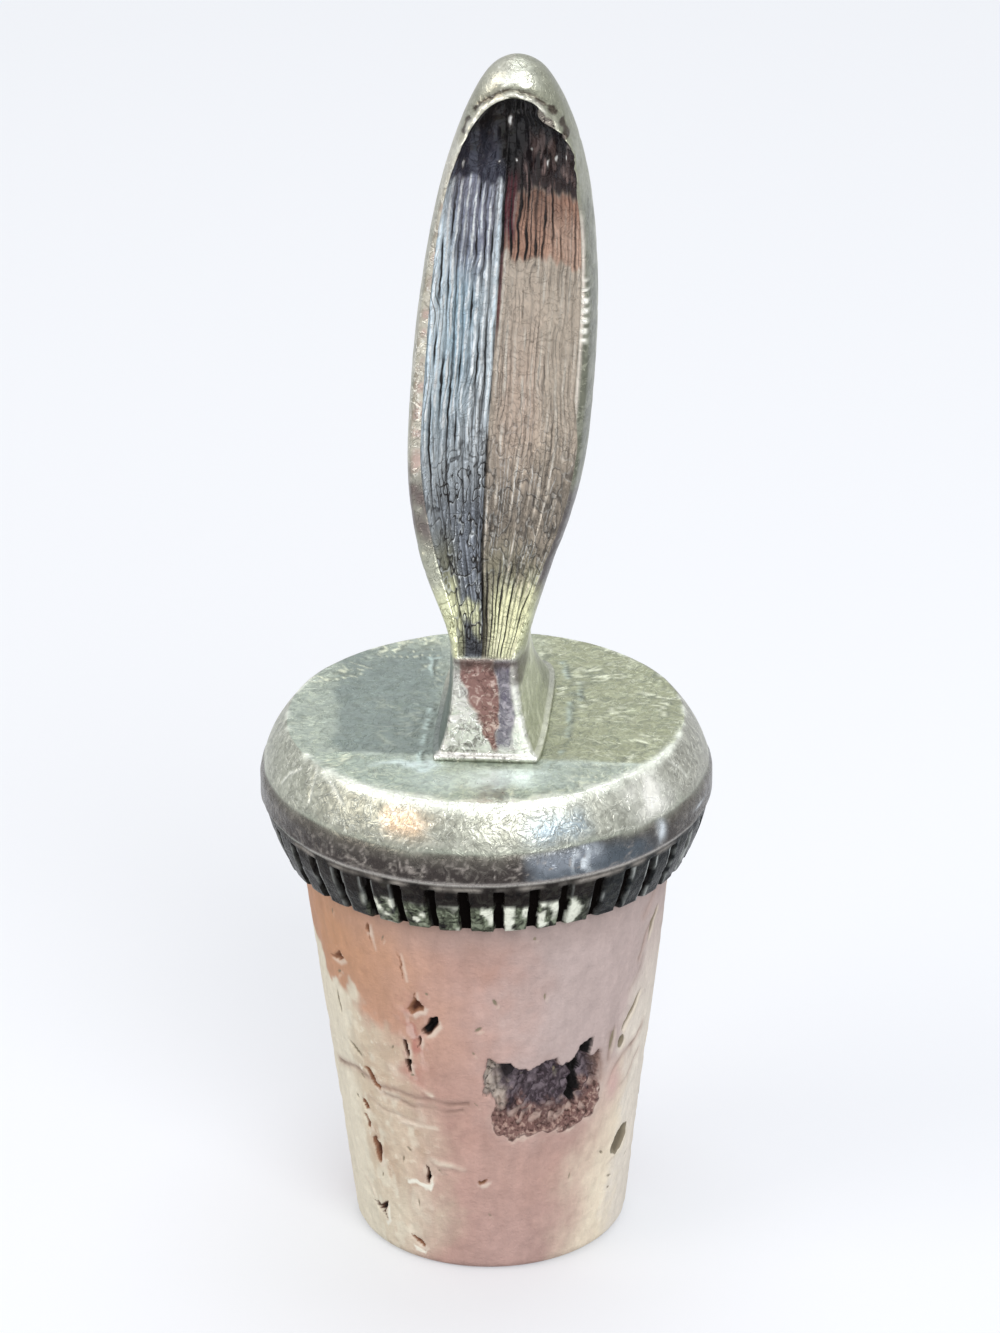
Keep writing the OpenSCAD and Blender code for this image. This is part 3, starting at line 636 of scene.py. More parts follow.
def capColumns():
    # angles from the front, towards +X, and how far each lies from its notch; they crowd at a notch's edges
    c = cap
    halfPitch = math.pi * c["bandMidR"] / c["notches"]
    steps = np.array([0.14, 0.27, 0.31, 0.36, 0.43, 0.55, 0.70, 0.86])
    steps = np.concatenate([[-halfPitch], -steps[::-1], [0], steps])
    jitter = np.random.default_rng(21)
    angles = []
    offsets = []
    for i in range(c["notches"]):
        middle = 2 * math.pi * (i + c["notchShift"]) / c["notches"]
        angles.append(middle + steps / c["bandMidR"])
        offsets.append(steps - jitter.normal(0, c["notchJitter"]))
    return np.concatenate(angles)[None, :], np.concatenate(offsets)[None, :]


def buildCap():
    c = cap
    bandTop, sideTop, r, z = capProfile()
    angle, across = capColumns()
    degrees = (np.degrees(angle) + 180) % 360 - 180
    topOfNotch = bandTop - c["notchTopGap"]
    ragged = 0.06 * softNoise(angle * 30, z * 1.6, 2.0, 52)
    notch = ease(c["notchW"] / 2 + 0.06, c["notchW"] / 2 - 0.05, np.abs(across) + ragged)
    onBand = ease(12.0, 12.3, r + 0 * angle) * (z < sideTop - 1)
    cut = notch * ease(topOfNotch + 0.1, topOfNotch - 0.12, z) * onBand
    wear = softNoise(angle * 9, z * 1.2, 0.0, 22) * 0.5 + softNoise(angle * 22, z * 2.5, 4.0, 23) * 0.5
    inTooth = ease(capBase - 0.01, capBase + 0.02, z) * ease(bandTop, bandTop - 0.2, z)
    px = np.sin(angle)
    py = -np.cos(angle)
    lump = (softNoise(r * px * 0.45, r * py * 0.45, z * 0.45, 24) * 0.5
            + softNoise(r * px, r * py, z, 25) * 0.5)
    dent = c["dent"] * clamp01(0.3 + lump)
    onShoulder = (r > c["topR"] - 0.02) * (z > sideTop)
    perDegree = c["perDegree"]
    lines = [[(a * perDegree, h) for a, h in line] for line in wrinkles]
    folds = strongest([bell(toStroke(degrees * perDegree, z + 0 * angle, line), 0, 0.10) for line in lines])
    folds = folds * onShoulder
    atSkin = ease(capBase, capBase + 0.3, z)
    inwards = (dent + 0.07 * folds + 0.08 * clamp01(wear) * inTooth) * atSkin * (r > c["bandInR"])
    radius = r - c["notchDepth"] * cut - inwards
    onTop = ease(33, 34, z) * ease(0, 2, r) * ease(12.31, 12.25, r)
    crumpled = (0.025 * softNoise(r * px * 1.4, r * py * 1.4, 0.0, 73)
                + 0.012 * softNoise(r * px * 3.0, r * py * 3.0, 0.0, 74))
    height = z + 0 * angle - np.where(r <= 12.32, np.maximum(dent + crumpled, 0) * onTop, 0)
    lowerEdge = (z == capBase) & (r > c["bandInR"])
    height = height + np.where(lowerEdge, 0.12 * clamp01(wear + 0.3) * (1 - cut), 0)
    rows = np.stack([radius * px, radius * py, height], 2)
    masks = capMasks(r, z, degrees, across, radius * px, radius * py, bandTop, sideTop)
    # the notches are painted black, as soot and painted shade in the slots
    masks["soot"] = ease(0.3, 0.7, cut)
    masks["folds"] = folds
    return buildPiece("capCasting", rows, "cap", masks, [0, 0, capBase], [0, 0, capHigh])


# ripples that the solder left beside the finial's plinth, as places on the flat top
ripples = [[(-3.3, 8.4), (-3.4, 5.6)], [(-3.4, 1.0), (-3.75, -3.0), (-4.05, -5.8), (-3.9, -7.3)],
           [(4.9, 7.6), (5.3, 3.4), (5.1, -1.4), (4.9, -3.4)], [(5.8, 4.6), (5.9, 1.0)],
           [(-3.4, 8.4), (-2.6, 8.4)], [(3.6, -7.4), (4.2, -6.2), (4.6, -5.2)]]


def capTopMasks(r, z, x, y, blur, fine):  # tones of the flat top, by place
    onTop = ease(33.6, 34.5, z) * (r < cap["topR"] - 0.02)
    masks = {"topFace": onTop + 0 * x}
    sx = x + 0.35 * fine
    sy = y + 0.35 * fine
    stripFrom = -6.2 - 0.12 * x
    # painted reflections on the flat top: teal behind on the left, olive on the right, a paler strip in
    # front with a straight edge
    masks["teal"] = (onTop * between(-9.2, -2.8, 0.5, sx + 0.3 * blur)
                     * ease(stripFrom, stripFrom + 0.5, y + 0.1 * fine) * ease(11, 8.5, sy))
    masks["olive"] = onTop * ease(0.5, 4.5, sx) * ease(stripFrom - 0.3, stripFrom + 0.3, y + 0.1 * fine)
    masks["strip"] = (onTop * ease(stripFrom + 0.25, stripFrom - 0.15, y + 0.1 * fine)
                      * ease(11, 9, np.abs(sx)))
    masks["strip"] = masks["strip"] * (1 - 0.75 * ease(2.0, 6.0, sx))
    masks["stripEdge"] = (onTop * bell(y + 0.1 * fine, stripFrom + 0.1, 0.2) * clamp01(0.5 + fine)
                          * ease(11, 9, np.abs(x)))
    # the solder round the plinth, painted as a bright glow of reflected light
    glow = bell(sx, -3.6, 1.0) * bell(sy, -6.9, 0.7) + 0.9 * bell(sx, 1.2, 2.2) * bell(sy, -8.3, 0.55)
    glow = (glow + 0.8 * bell(sx, -5.4, 1.0) * bell(sy, -6.6, 0.4)
            + 0.2 * bell(sx, 5.0, 1.8) * bell(sy, -7.0, 0.6))
    glow = glow + 0.6 * bell(sx, 0.4, 3.4) * bell(sy, -9.3, 1.1)
    masks["solderGlow"] = onTop * clamp01(glow * (1.4 + 0.9 * fine))
    # painted highlights on the crumpled curls, with painted shade beside them
    curls = softNoise(x * 0.85, y * 1.1, 0.0, 66) + 0.5 * softNoise(x * 2.0, y * 2.4, 0.0, 67)
    here = clamp01(0.2 + 0.5 * masks["olive"] + 0.4 * masks["strip"] + 0.5 * ease(2.5, 6.5, sy)
                   + 0.5 * bell(r, 11.3, 1.4))
    patchy = clamp01(0.5 + 1.6 * softNoise(x * 0.5, y * 0.5, 5.0, 68))
    masks["curl"] = onTop * here * bell(curls, 0.34, 0.09) * patchy
    masks["curlShade"] = onTop * (0.3 + 0.7 * here) * bell(curls, 0.12, 0.12) * patchy
    # painted highlights on the solder's ripples, with painted shade beside them
    ripple = strongest([bell(toStroke(x + 0.12 * fine, y, line), 0, 0.13) for line in ripples])
    shade = strongest([bell(toStroke(x + 0.12 * fine - 0.22, y - 0.1, line), 0, 0.13) for line in ripples])
    masks["rippleHighlight"] = (onTop * ripple * clamp01(0.6 + fine) * mix(0.8, 1.1, ease(-3, -5, y))
                            * mix(1.0, 0.7, x > 0))
    masks["rippleShade"] = onTop * shade * clamp01(0.6 + fine)
    shine = (0.55 * masks["olive"] + 0.55 * masks["strip"] + 0.12 + 0.6 * bell(r, 11.3, 1.3)
             - 0.3 * masks["teal"])
    masks["shine"] = onTop * clamp01(shine)
    return masks


def bandMasks(onBand, z, zz, degrees, dd, across, fine, bandTop):  # tones of the milled band
    masks = {"band": onBand + 0 * across}
    # painted highlights on the land above the notches
    land = bell(z, bandTop - 0.3, 0.16) * between(-60, 58, 10, degrees)
    masks["landHighlight"] = onBand * land * clamp01(0.5 + 1.2 * fine)
    masks["toothBrown"] = onBand * between(-60, 30, 6, dd) * ease(capBase + 1.6, capBase + 2.3, zz)
    # painted reflection on the lower halves of the front teeth, with painted glints
    masks["toothLowReflection"] = onBand * ease(capBase + 2.2, capBase + 1.6, zz) * between(-33, 25, 4, dd)
    blotch = softNoise(degrees * 0.21, z * 0.9, 0.0, 28) + 0.6 * softNoise(degrees * 0.5, z * 2.2, 5.0, 54)
    beside = between(0.40, 0.66, 0.05, np.abs(across)) * mix(0.55, 1.0, across > 0)
    masks["toothGlint"] = clamp01(masks["toothLowReflection"]
                                  * (beside * ease(-0.05, 0.2, blotch) + ease(0.32, 0.5, blotch)))
    masks["toothBlue"] = onBand * ease(26, 36, dd) * ease(120, 90, dd)
    # painted highlights along the notches' edges
    thin = bell(np.abs(across), 0.40, 0.05) * clamp01(0.45 + blotch)
    masks["notchEdgeHighlight"] = (onBand * thin * ease(20, 28, np.abs(degrees)) * ease(95, 75, np.abs(degrees))
                          * (z < bandTop - 0.5))
    masks["notchEdgeHighlight"] = masks["notchEdgeHighlight"] * mix(1.0, 0.5, degrees < 0)
    return masks


def capMasks(r, z, degrees, across, x, y, bandTop, sideTop):
    # where each tone lies: on the flat top by place, on the rest by degrees from the front and height
    blur = softNoise(x * 0.5, y * 0.5, z * 0.5, 26)
    fine = softNoise(x * 1.3, y * 1.3, z * 1.3, 27)
    zz = z + 0.22 * blur + 0.14 * fine
    dd = degrees + 3 * blur + 1.5 * fine
    front = np.clip(np.cos(np.radians(degrees)), 0, 1)
    masks = capTopMasks(r, z, x, y, blur, fine)
    # painted highlight along the flat top's edge, wider and brighter towards the front
    edgeTop = (bell(r, cap["topR"], mix(0.18, 0.65, front ** 1.5) * clamp01(0.9 + 0.4 * fine))
               * ease(34.0, 34.6, z) * (r < cap["topR"]))
    edgeSide = bell(z, capHigh, mix(0.16, 0.42, front ** 1.5)) * (r >= cap["topR"])
    masks["topEdge"] = np.maximum(edgeTop, edgeSide) * clamp01(0.2 + 0.88 * front + 0.7 * fine)
    onShoulder = ease(sideTop - 0.3, sideTop + 0.5, zz) * (r > cap["topR"] - 0.02)
    masks["shoulder"] = onShoulder + 0 * x
    # painted reflections on the shoulder: a warm spot and a cool patch of coloured light, a cream highlight
    # and a highlight streak
    masks["warmReflection"] = onShoulder * between(-27, -15, 2.5, dd) * bell(zz, 33.5, 0.7)
    masks["dimLeft"] = onShoulder * bell(dd, -34, 14) * 0.6
    masks["creamHighlight"] = onShoulder * bell(dd, 32, 26) * bell(zz, 33.8, 1.1) * 0.85
    masks["streakHighlight"] = onShoulder * bell(dd, 50.0, 5.6) * bell(zz, 33.7, 1.4) * clamp01(0.9 + 0.9 * fine)
    masks["coolReflection"] = onShoulder * between(9, 26, 4, dd) * bell(zz, 33.0, 0.9)
    masks["leftGrey"] = onShoulder * ease(-44, -56, dd) * 0.9
    masks["rightGrey"] = onShoulder * ease(54, 64, dd)
    masks["shine"] = (masks["shine"]
                      + onShoulder * mix(0.35, 1.0, front ** 2) * mix(0.6, 1.0, ease(-22, 4, dd)))
    onSide = between(bandTop + 0.2, sideTop + 0.1, 0.1, z) * (r > cap["topR"])
    onSide = np.maximum(onSide * ease(sideTop + 0.5, sideTop - 0.3, zz), 0)
    masks["side"] = onSide
    low = ease(sideTop + 0.1, bandTop + 0.8, zz)
    masks["sideDark"] = onSide * low * mix(0.75, 1.0, between(-62, 52, 12, dd))
    # painted reflections on the side: blue towards the right, with a paler patch in it
    masks["sideBlueReflection"] = onSide * between(9, 44, 4, dd) * ease(sideTop + 0.5, bandTop + 0.9, zz)
    masks["sidePaleReflection"] = onSide * between(10, 27, 4, dd) * bell(zz, 31.1, 0.8)
    broken = clamp01(0.35 + 1.5 * softNoise(degrees * 0.7, z * 1.4, 0.0, 60))
    glints = 1.4 * bell(degrees, 24.0, 3.6) * bell(z, 31.0, 0.75) * broken
    glints = glints + bell(degrees, 49.4, 1.6) * bell(z, 31.1, 0.8) * mix(0.5, 1.0, broken)
    glints = glints + 0.7 * bell(degrees, 69, 3.0) * bell(z, 30.8, 0.10)
    masks["sideGlint"] = clamp01(glints) * (z > bandTop) * onSide
    scratch = bell(fine + 0.5 * softNoise(x * 2.6, y * 2.6, z * 2.6, 53), 0.3, 0.07)
    masks["scratch"] = onSide * scratch * bell(z, 30.8, 0.6) * between(-50, 40, 8, degrees)
    # painted highlight along the step above the band
    masks["stepHighlight"] = bell(z, bandTop + 0.10, 0.13) * ease(-66, -42, degrees) * ease(75, 55, degrees)
    onBand = ease(bandTop + 0.05, bandTop - 0.15, z) * (r > cap["bandInR"])
    masks.update(bandMasks(onBand, z, zz, degrees, dd, across, fine, bandTop))
    masks["film"] = clamp01(onBand + onSide * 0.7 + 0.9 * masks["streakHighlight"]
                            + 0.8 * masks["strip"] * bell(x, 1.0, 4.5) * ease(11, 9.5, r))
    masks["gloss"] = clamp01(onBand + onSide) * 0.4
    masks["dull"] = onBand * 0.85 + 0 * x
    return masks


capCasting = buildCap()
print("cap made")

# the cork is a tapered natural plug with a torn patch, pores and a creased side
cork = {"lowR": 8.5, "topR": 11.6, "middleR": 10.1, "edgeR": 0.8, "tearDepth": 0.85, "crackDepth": 1.1,
        "seen": 82, "frontColumns": 335, "backColumns": 150, "sideRows": 184}

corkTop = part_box("cork")[1].z / mm

# every place on the cork is in degrees from the front, towards +X, and millimetres of height
tearOutline = [(-2.5, 14.3), (-1.2, 16.2), (1.5, 15.9), (3.5, 15.75), (8.3, 15.7), (10, 15.3), (12.8, 15.3),
               (13.6, 15.0), (16, 15.3), (20.3, 15.7), (23.3, 15.5), (26, 15.1), (28.8, 15.1), (31, 15.5),
               (32.4, 16.1), (35.5, 16.3), (37, 16.1), (36.4, 15.3), (38, 15.0), (41, 15.4), (43, 14.6),
               (42.8, 13.1), (43.6, 12.2), (43, 11.4), (40.8, 10.9), (40, 10.4), (36, 10.5), (32, 10.2),
               (28.9, 10.1), (25, 10.3), (21.6, 10.0), (17, 10.3), (13, 10.1), (10.5, 10.3), (7.9, 9.8),
               (5.5, 10.4), (2.7, 10.5), (-0.1, 11.6), (1, 12.5), (1.2, 13.1), (-2.4, 13.5)]
crackOutline = [(33.4, 16.1), (37, 16.3), (36.0, 15.2), (35.8, 14.3), (34.6, 14.0), (34.2, 13.2),
                (33.8, 12.1), (32.4, 11.9), (31.6, 12.2), (32.0, 13.0), (32.4, 13.9), (31.6, 14.5),
                (32.6, 15.3)]
darkHoles = [[(-22.6, 18.0), (-21.4, 18.3), (-19.8, 18.95), (-17.6, 18.95), (-16.9, 18.5), (-18.4, 18.15),
              (-19.8, 17.75), (-21.2, 17.65), (-22.4, 17.6)],
             [(-25.0, 17.1), (-24.0, 17.45), (-23.7, 17.1), (-24.6, 16.6)],
             [(-30.8, 16.8), (-29.2, 16.9), (-28.5, 16.2), (-29.2, 15.6), (-30.4, 15.9)],
             [(-30.2, 15.5), (-28.7, 15.4), (-28.2, 14.6), (-29.4, 14.5)],
             [(-25.6, 7.6), (-24.8, 7.4), (-24.4, 6.9), (-23.7, 6.6), (-24.6, 6.35), (-25.8, 6.45),
              (-25.6, 7.0)],
             [(-57.4, 3.2), (-52, 3.1), (-46.2, 3.8), (-49.2, 2.9), (-48, 2.2), (-50.6, 2.5), (-53, 2.8)]]
rustHoles = [[(-24.9, 20.8), (-24.2, 20.0), (-21.5, 19.7), (-22.4, 19.3), (-24.4, 19.2), (-26.3, 18.9),
              (-27.7, 19.3), (-26.2, 19.7), (-25.4, 20.0)],
             [(-41.8, 24.2), (-40, 25.0), (-39.5, 24.5), (-39.1, 23.2), (-40, 24.1)],
             [(-51.5, 13.6), (-48, 13.6), (-45, 13.1), (-42.7, 12.4), (-44.6, 12.3), (-48, 12.8)],
             [(-52.0, 8.2), (-49.5, 8.5), (-47.0, 7.8), (-46.4, 6.9), (-48.4, 6.5), (-51.0, 7.2)],
             [(-36, 2.0), (-32, 1.8), (-28.3, 1.3), (-30, 1.15), (-33, 1.4)],
             [(-63, 20.8), (-60, 21.0), (-56.5, 21.6), (-54, 21.2), (-58, 20.7)],
             [(-29.6, 23.5), (-28.9, 23.0), (-28.3, 22.2), (-28.0, 21.5), (-28.4, 21.5), (-29.1, 22.4)],
             [(-6.4, 6.85), (-4, 6.8), (-2.6, 6.95), (-1.2, 7.0), (-3, 6.62), (-4.6, 6.55)],
             [(-55.5, 10.9), (-52.5, 10.9), (-50.5, 10.4), (-53.5, 10.2)],
             [(-55, 9.9), (-52, 9.6), (-51.2, 9.0), (-54, 8.8), (-53.2, 9.3)]]
# lens marks: centre, half length, half width, lean from upright, depth
lensMarks = [(60.2, 7.25, 1.15, 0.85, -50, 0.35), (52.9, 15.05, 0.50, 0.36, 0, 0.25),
             (58.5, 17.0, 1.35, 0.22, -40, 0.30), (54.2, 16.1, 0.45, 0.18, -35, 0.30),
             (-3.7, 18.3, 0.28, 0.12, -60, 0.12), (66.5, 22.5, 1.2, 0.25, -20, 0.25),
             (47.5, 15.6, 0.9, 0.12, -6, 0.15), (-55, 14.5, 0.75, 0.16, 64, 0.20),
             (-62, 17.5, 0.8, 0.15, 10, 0.15)]
chalkMarks = [[(-34.2, 6.3), (-30, 6.4), (-26, 6.25), (-24, 6.3), (-23, 7.1), (-22.4, 6.3), (-24, 5.6),
               (-28, 5.8), (-31, 5.95), (-34.2, 5.9)],
              [(-47.5, 3.3), (-45.5, 3.6), (-46, 2.2), (-48.5, 1.7), (-50, 2.1), (-48, 2.2)],
              [(-36, 1.3), (-33, 1.1), (-29, 0.9), (-27, 1.3), (-29, 0.6), (-34, 0.7)],
              [(-56, 13.8), (-53, 13.4), (-51, 13.5), (-53, 13.0)],
              [(-56.4, 9.0), (-54, 8.4), (-51.5, 8.7), (-53, 8.1)]]
folds = [([(-72, 12.2), (-60, 12.9), (-50, 12.9), (-43, 12.6), (-30, 12.7), (-22, 12.6), (-8, 12.8)],
          0.13, 0.8),
         ([(-42, 12.2), (-34, 12.0), (-27, 12.0), (-18, 12.0), (-10, 12.3)], 0.12, 0.6),
         ([(-50, 11.4), (-42, 11.1), (-34, 10.8), (-26, 10.8)], 0.10, 0.35),
         ([(-23, 7.9), (-20, 7.5), (-16, 7.6), (-11, 7.4)], 0.10, 0.30),
         ([(69, 14.9), (62, 14.2), (57, 14.0), (53, 13.7), (50, 13.1), (48.6, 12.3)], 0.14, 0.8),
         ([(68, 13.2), (64, 12.6), (60, 11.9), (56, 11.6)], 0.13, 0.45),
         ([(46.5, 16.2), (46.6, 14.2)], 0.12, 0.5), ([(41, 15.2), (43.2, 14.2), (43.6, 12.9)], 0.14, 0.7),
         ([(62, 20.4), (58, 19.2), (55, 18.6)], 0.10, 0.35),
         ([(68, 25.6), (63, 24.8), (59, 23.5)], 0.14, 0.55),
         ([(67, 23.0), (62, 21.9), (58.5, 20.6)], 0.13, 0.5)]
# pale fibres left standing in the torn patch
fibres = [[(4.5, 12.6), (8.5, 14.0), (12, 15.0)], [(10.5, 12.2), (14.5, 13.6), (17.5, 14.9)],
          [(18.5, 13.2), (22.5, 14.8)], [(24.5, 12.8), (28.5, 14.3)], [(36.2, 12.2), (40.4, 14.6)],
          [(3.5, 14.7), (7.5, 13.4)]]
ridges = [([(-46, 10.9), (-34, 10.6), (-20, 10.6)], 0.16),
          ([(-25, 8.3), (-20, 7.9), (-15, 8.0), (-10, 7.7)], 0.16),
          ([(-27, 13.6), (-24, 13.3), (-21, 12.95)], 0.14), ([(54.5, 13.4), (53, 12.2), (51.5, 11.4)], 0.3),
          ([(60, 6.9), (57, 6.2), (53, 5.9)], 0.14), ([(-60.5, 4.6), (-56, 3.6)], 0.12)]


def toOutline(px, py, outline):  # signed distance to a closed outline, positive inside
    best = toStroke(px, py, outline + outline[:1])
    inside = np.zeros(best.shape, bool)
    for (ax, ay), (bx, by) in zip(outline, outline[1:] + outline[:1]):
        inside ^= ((ay > py) != (by > py)) & (px < (bx - ax) * (py - ay) / (by - ay + 1e-12) + ax)
    return np.where(inside, best, -best)


def onArc(points):  # degrees to millimetres round a cork of middle size
    return [(math.radians(a) * cork["middleR"], h) for a, h in points]


def looseMarks(random):  # lens marks of the unseen back, and small ones all round
    behind = [(80, 280), (1.5, 25), (0.35, 1.1), (0.15, 0.4), (-70, 70), (0.25, 0.7)]
    small = [(-70, 70), (1.5, 25), (0.12, 0.3), (0.06, 0.12), (-80, 80), (0.05, 0.12)]
    return [[random.uniform(*limits) for limits in kind] for kind, count in ((behind, 70), (small, 26))
            for _ in range(count)]


def lensFields(angle, z, arc, ragged, slope):  # how far inside a mark, how deep it is and its lit lower lip
    c = cork
    lens = -1 + 0 * arc
    lensDeep = 0 * arc
    lensRim = 0 * arc
    for a, h, long, broad, lean, deep in lensMarks + looseMarks(np.random.default_rng(38)):
        dx = ((angle - math.radians(a) + math.pi) % (2 * math.pi) - math.pi) * (c["lowR"] + slope * h)
        dz = z - h
        ca = math.cos(math.radians(lean))
        sa = math.sin(math.radians(lean))
        size = np.hypot((dx * ca + dz * sa) / broad, (-dx * sa + dz * ca) / long) + 1.0 * ragged
        field = (1 - size) * broad
        lens = np.maximum(lens, field)
        lensDeep = np.maximum(lensDeep, ease(-0.05, 0.6 * broad, field) * deep)
        shifted = np.hypot(((dx - 0.16) * ca + (dz + 0.22) * sa) / broad,
                           (-(dx - 0.16) * sa + (dz + 0.22) * ca) / long)
        lensRim = np.maximum(lensRim, ease(1.2, 0.8, shifted) * min(1.0, deep / 0.3))
    return lens, lensDeep, lensRim


def foldFields(arc, z2):  # creases, the shade beside them and the raised strokes
    fold = 0 * arc
    foldShade = 0 * arc
    wander = 0.14 * softNoise(arc * 0.8, z2 * 0.8, 0.0, 39) + 0.05 * softNoise(arc * 2.5, z2 * 2.5, 0.0, 55)
    for line, width, strength in folds:
        away = toStroke(arc, z2 + wander, onArc(line))
        patchy = clamp01(0.75 + 0.6 * softNoise(arc * 0.9, z2 * 0.9, 2.0, 56))
        fold = np.maximum(fold, bell(away, 0, width) * strength * patchy)
        foldShade = np.maximum(foldShade, bell(away, 0, 2.6 * width) * strength)
    ridge = strongest([bell(toStroke(arc, z2 + wander, onArc(line)), 0, width) for line, width in ridges])
    ridge = ridge * clamp01(0.7 + softNoise(arc * 0.9, z2 * 0.9, 5.0, 57))
    return fold, foldShade, ridge


def buildCork():
    c = cork
    edgeA = np.linspace(-math.pi / 2, 0, 9)
    slope = (c["topR"] - c["lowR"]) / corkTop
    bottom = np.linspace(0.4, c["lowR"] - c["edgeR"] - 0.2, 10)
    edgeR = c["lowR"] + slope * c["edgeR"] - c["edgeR"] + c["edgeR"] * np.cos(edgeA)
    edgeZ = c["edgeR"] + c["edgeR"] * np.sin(edgeA)
    sideZ = np.linspace(c["edgeR"], corkTop, c["sideRows"])[1:]
    r = np.concatenate([bottom, edgeR, c["lowR"] + slope * sideZ])[:, None]
    z = np.concatenate([0 * bottom, edgeZ, sideZ])[:, None]
    seen = math.radians(c["seen"])              # the mesh is finer as far round as this
    ahead = np.linspace(-seen, seen, c["frontColumns"], endpoint=False)
    behind = np.linspace(seen, 2 * math.pi - seen, c["backColumns"], endpoint=False)
    angle = (np.concatenate([ahead, behind])[None, :] + math.pi) % (2 * math.pi) - math.pi
    px = np.sin(angle)
    py = -np.cos(angle)
    arc = angle * c["middleR"] + 0 * z
    z2 = z + 0 * angle
    degrees = np.degrees(angle) + 0 * z
    onSide = ease(0.1, 0.6, z2)
    fuzz = 0.22 * softNoise(arc * 2.2, z2 * 2.2, 0.0, 31) + 0.14 * softNoise(arc * 5.0, z2 * 5.0, 1.0, 32)
    tear = toOutline(arc + fuzz * mix(0.5, 1.0, ease(14.5, 12.0, z2)), z2 + fuzz * 0.8, onArc(tearOutline))
    shelf = ease(0.0, mix(0.18, 0.9, ease(13.0, 11.0, z2)), tear)           # steep above, sloping below
    rough = 0.35 * softNoise(arc * 1.5, z2 * 1.5, 3.0, 33) + 0.30 * softNoise(arc * 3.4, z2 * 3.4, 6.0, 34)
    strand = softNoise((arc + z2) * 1.3, (arc - z2) * 3.2, 2.0, 35)         # torn fibres lie slantwise
    sunk = shelf * (c["tearDepth"] * mix(0.45, 1.0, ease(10.8, 14, z2)) + 0.7 * rough + 0.30 * strand)
    crack = toOutline(arc + 0.4 * fuzz, z2 + 0.4 * fuzz, onArc(crackOutline)) + 0.15
    ragged = 0.12 * softNoise(arc * 3.2, z2 * 3.2, 8.0, 37)
    dark, rust, chalk = [strongest([toOutline(arc + ragged, z2 + ragged, onArc(o)) for o in outlines])
                         for outlines in (darkHoles, rustHoles, chalkMarks)]
    holeRimHighlight = strongest([toOutline(arc - 0.22, z2 + 0.20, onArc(o)) for o in darkHoles + rustHoles])
    lens, lensDeep, lensRim = lensFields(angle, z, arc, ragged, slope)
    fold, foldShade, ridge = foldFields(arc, z2)
    lumps = 0.06 * softNoise(arc * 0.7, z2 * 0.5, 7.0, 41) + 0.05 * softNoise(arc * 1.8, z2 * 1.3, 7.0, 42)
    holes = (ease(-0.04, 0.14, dark) * 0.9 + ease(-0.02, 0.2, rust) * 0.5
             + ease(-0.02, 0.10, crack) * c["crackDepth"])
    inward = clamp01(lumps + 0.03) + np.maximum(sunk, 0) * onSide + holes + lensDeep + 0.18 * fold
    inward = np.maximum(inward - 0.12 * ridge * (1 - shelf), 0)
    radius = r - inward * onSide
    rows = np.stack([radius * px, radius * py, z2], 2)
    masks = {"tear": tear, "crack": crack, "darkHole": dark, "rustHole": rust, "lens": lens, "chalk": chalk}
    masks = {k: np.clip(v, -0.5, 0.5) + 0.5 for k, v in masks.items()}
    masks["lensRim"] = clamp01(lensRim - ease(-0.03, 0.03, lens)) * onSide
    # a painted highlight on the lower right lip of each hole
    masks["holeRimHighlight"] = (0.65 * ease(-0.14, 0.10, holeRimHighlight) * ease(0.02, -0.04, np.maximum(dark, rust))
                        * (1 - shelf))
    masks["fold"] = fold * onSide
    masks["foldShade"] = foldShade * onSide
    masks["ridge"] = ridge * onSide
    masks["slant"] = clamp01(0.5 + 1.1 * strand + 0.5 * rough) * shelf
    masks.update(corkZones(degrees, z2, arc, shelf, rough, tear))
    standing = strongest([bell(toStroke(arc + fuzz, z2, onArc(line)), 0, 0.09) for line in fibres])
    masks["stroke"] = (masks["tearShadow"]
                       * np.maximum(ease(0.5, 0.8, masks["slant"]), standing * clamp01(0.8 + strand)))
    return buildPiece("corkPlug", rows, "cork", masks, [0, 0, 0], [0, 0, corkTop])


# the worn side, with painted light on it, ends at these degrees from the front, from the bottom up
wornHeights = [0, 1, 3, 6, 8, 10, 12.5, 15, 16.5, 17.6, 18.4, 19.3, 20.5, 26]
wornDegrees = [-36, -30, -26, -26, -22, -18, -22, -30, -36, -43, -52, -68, -90, -90]


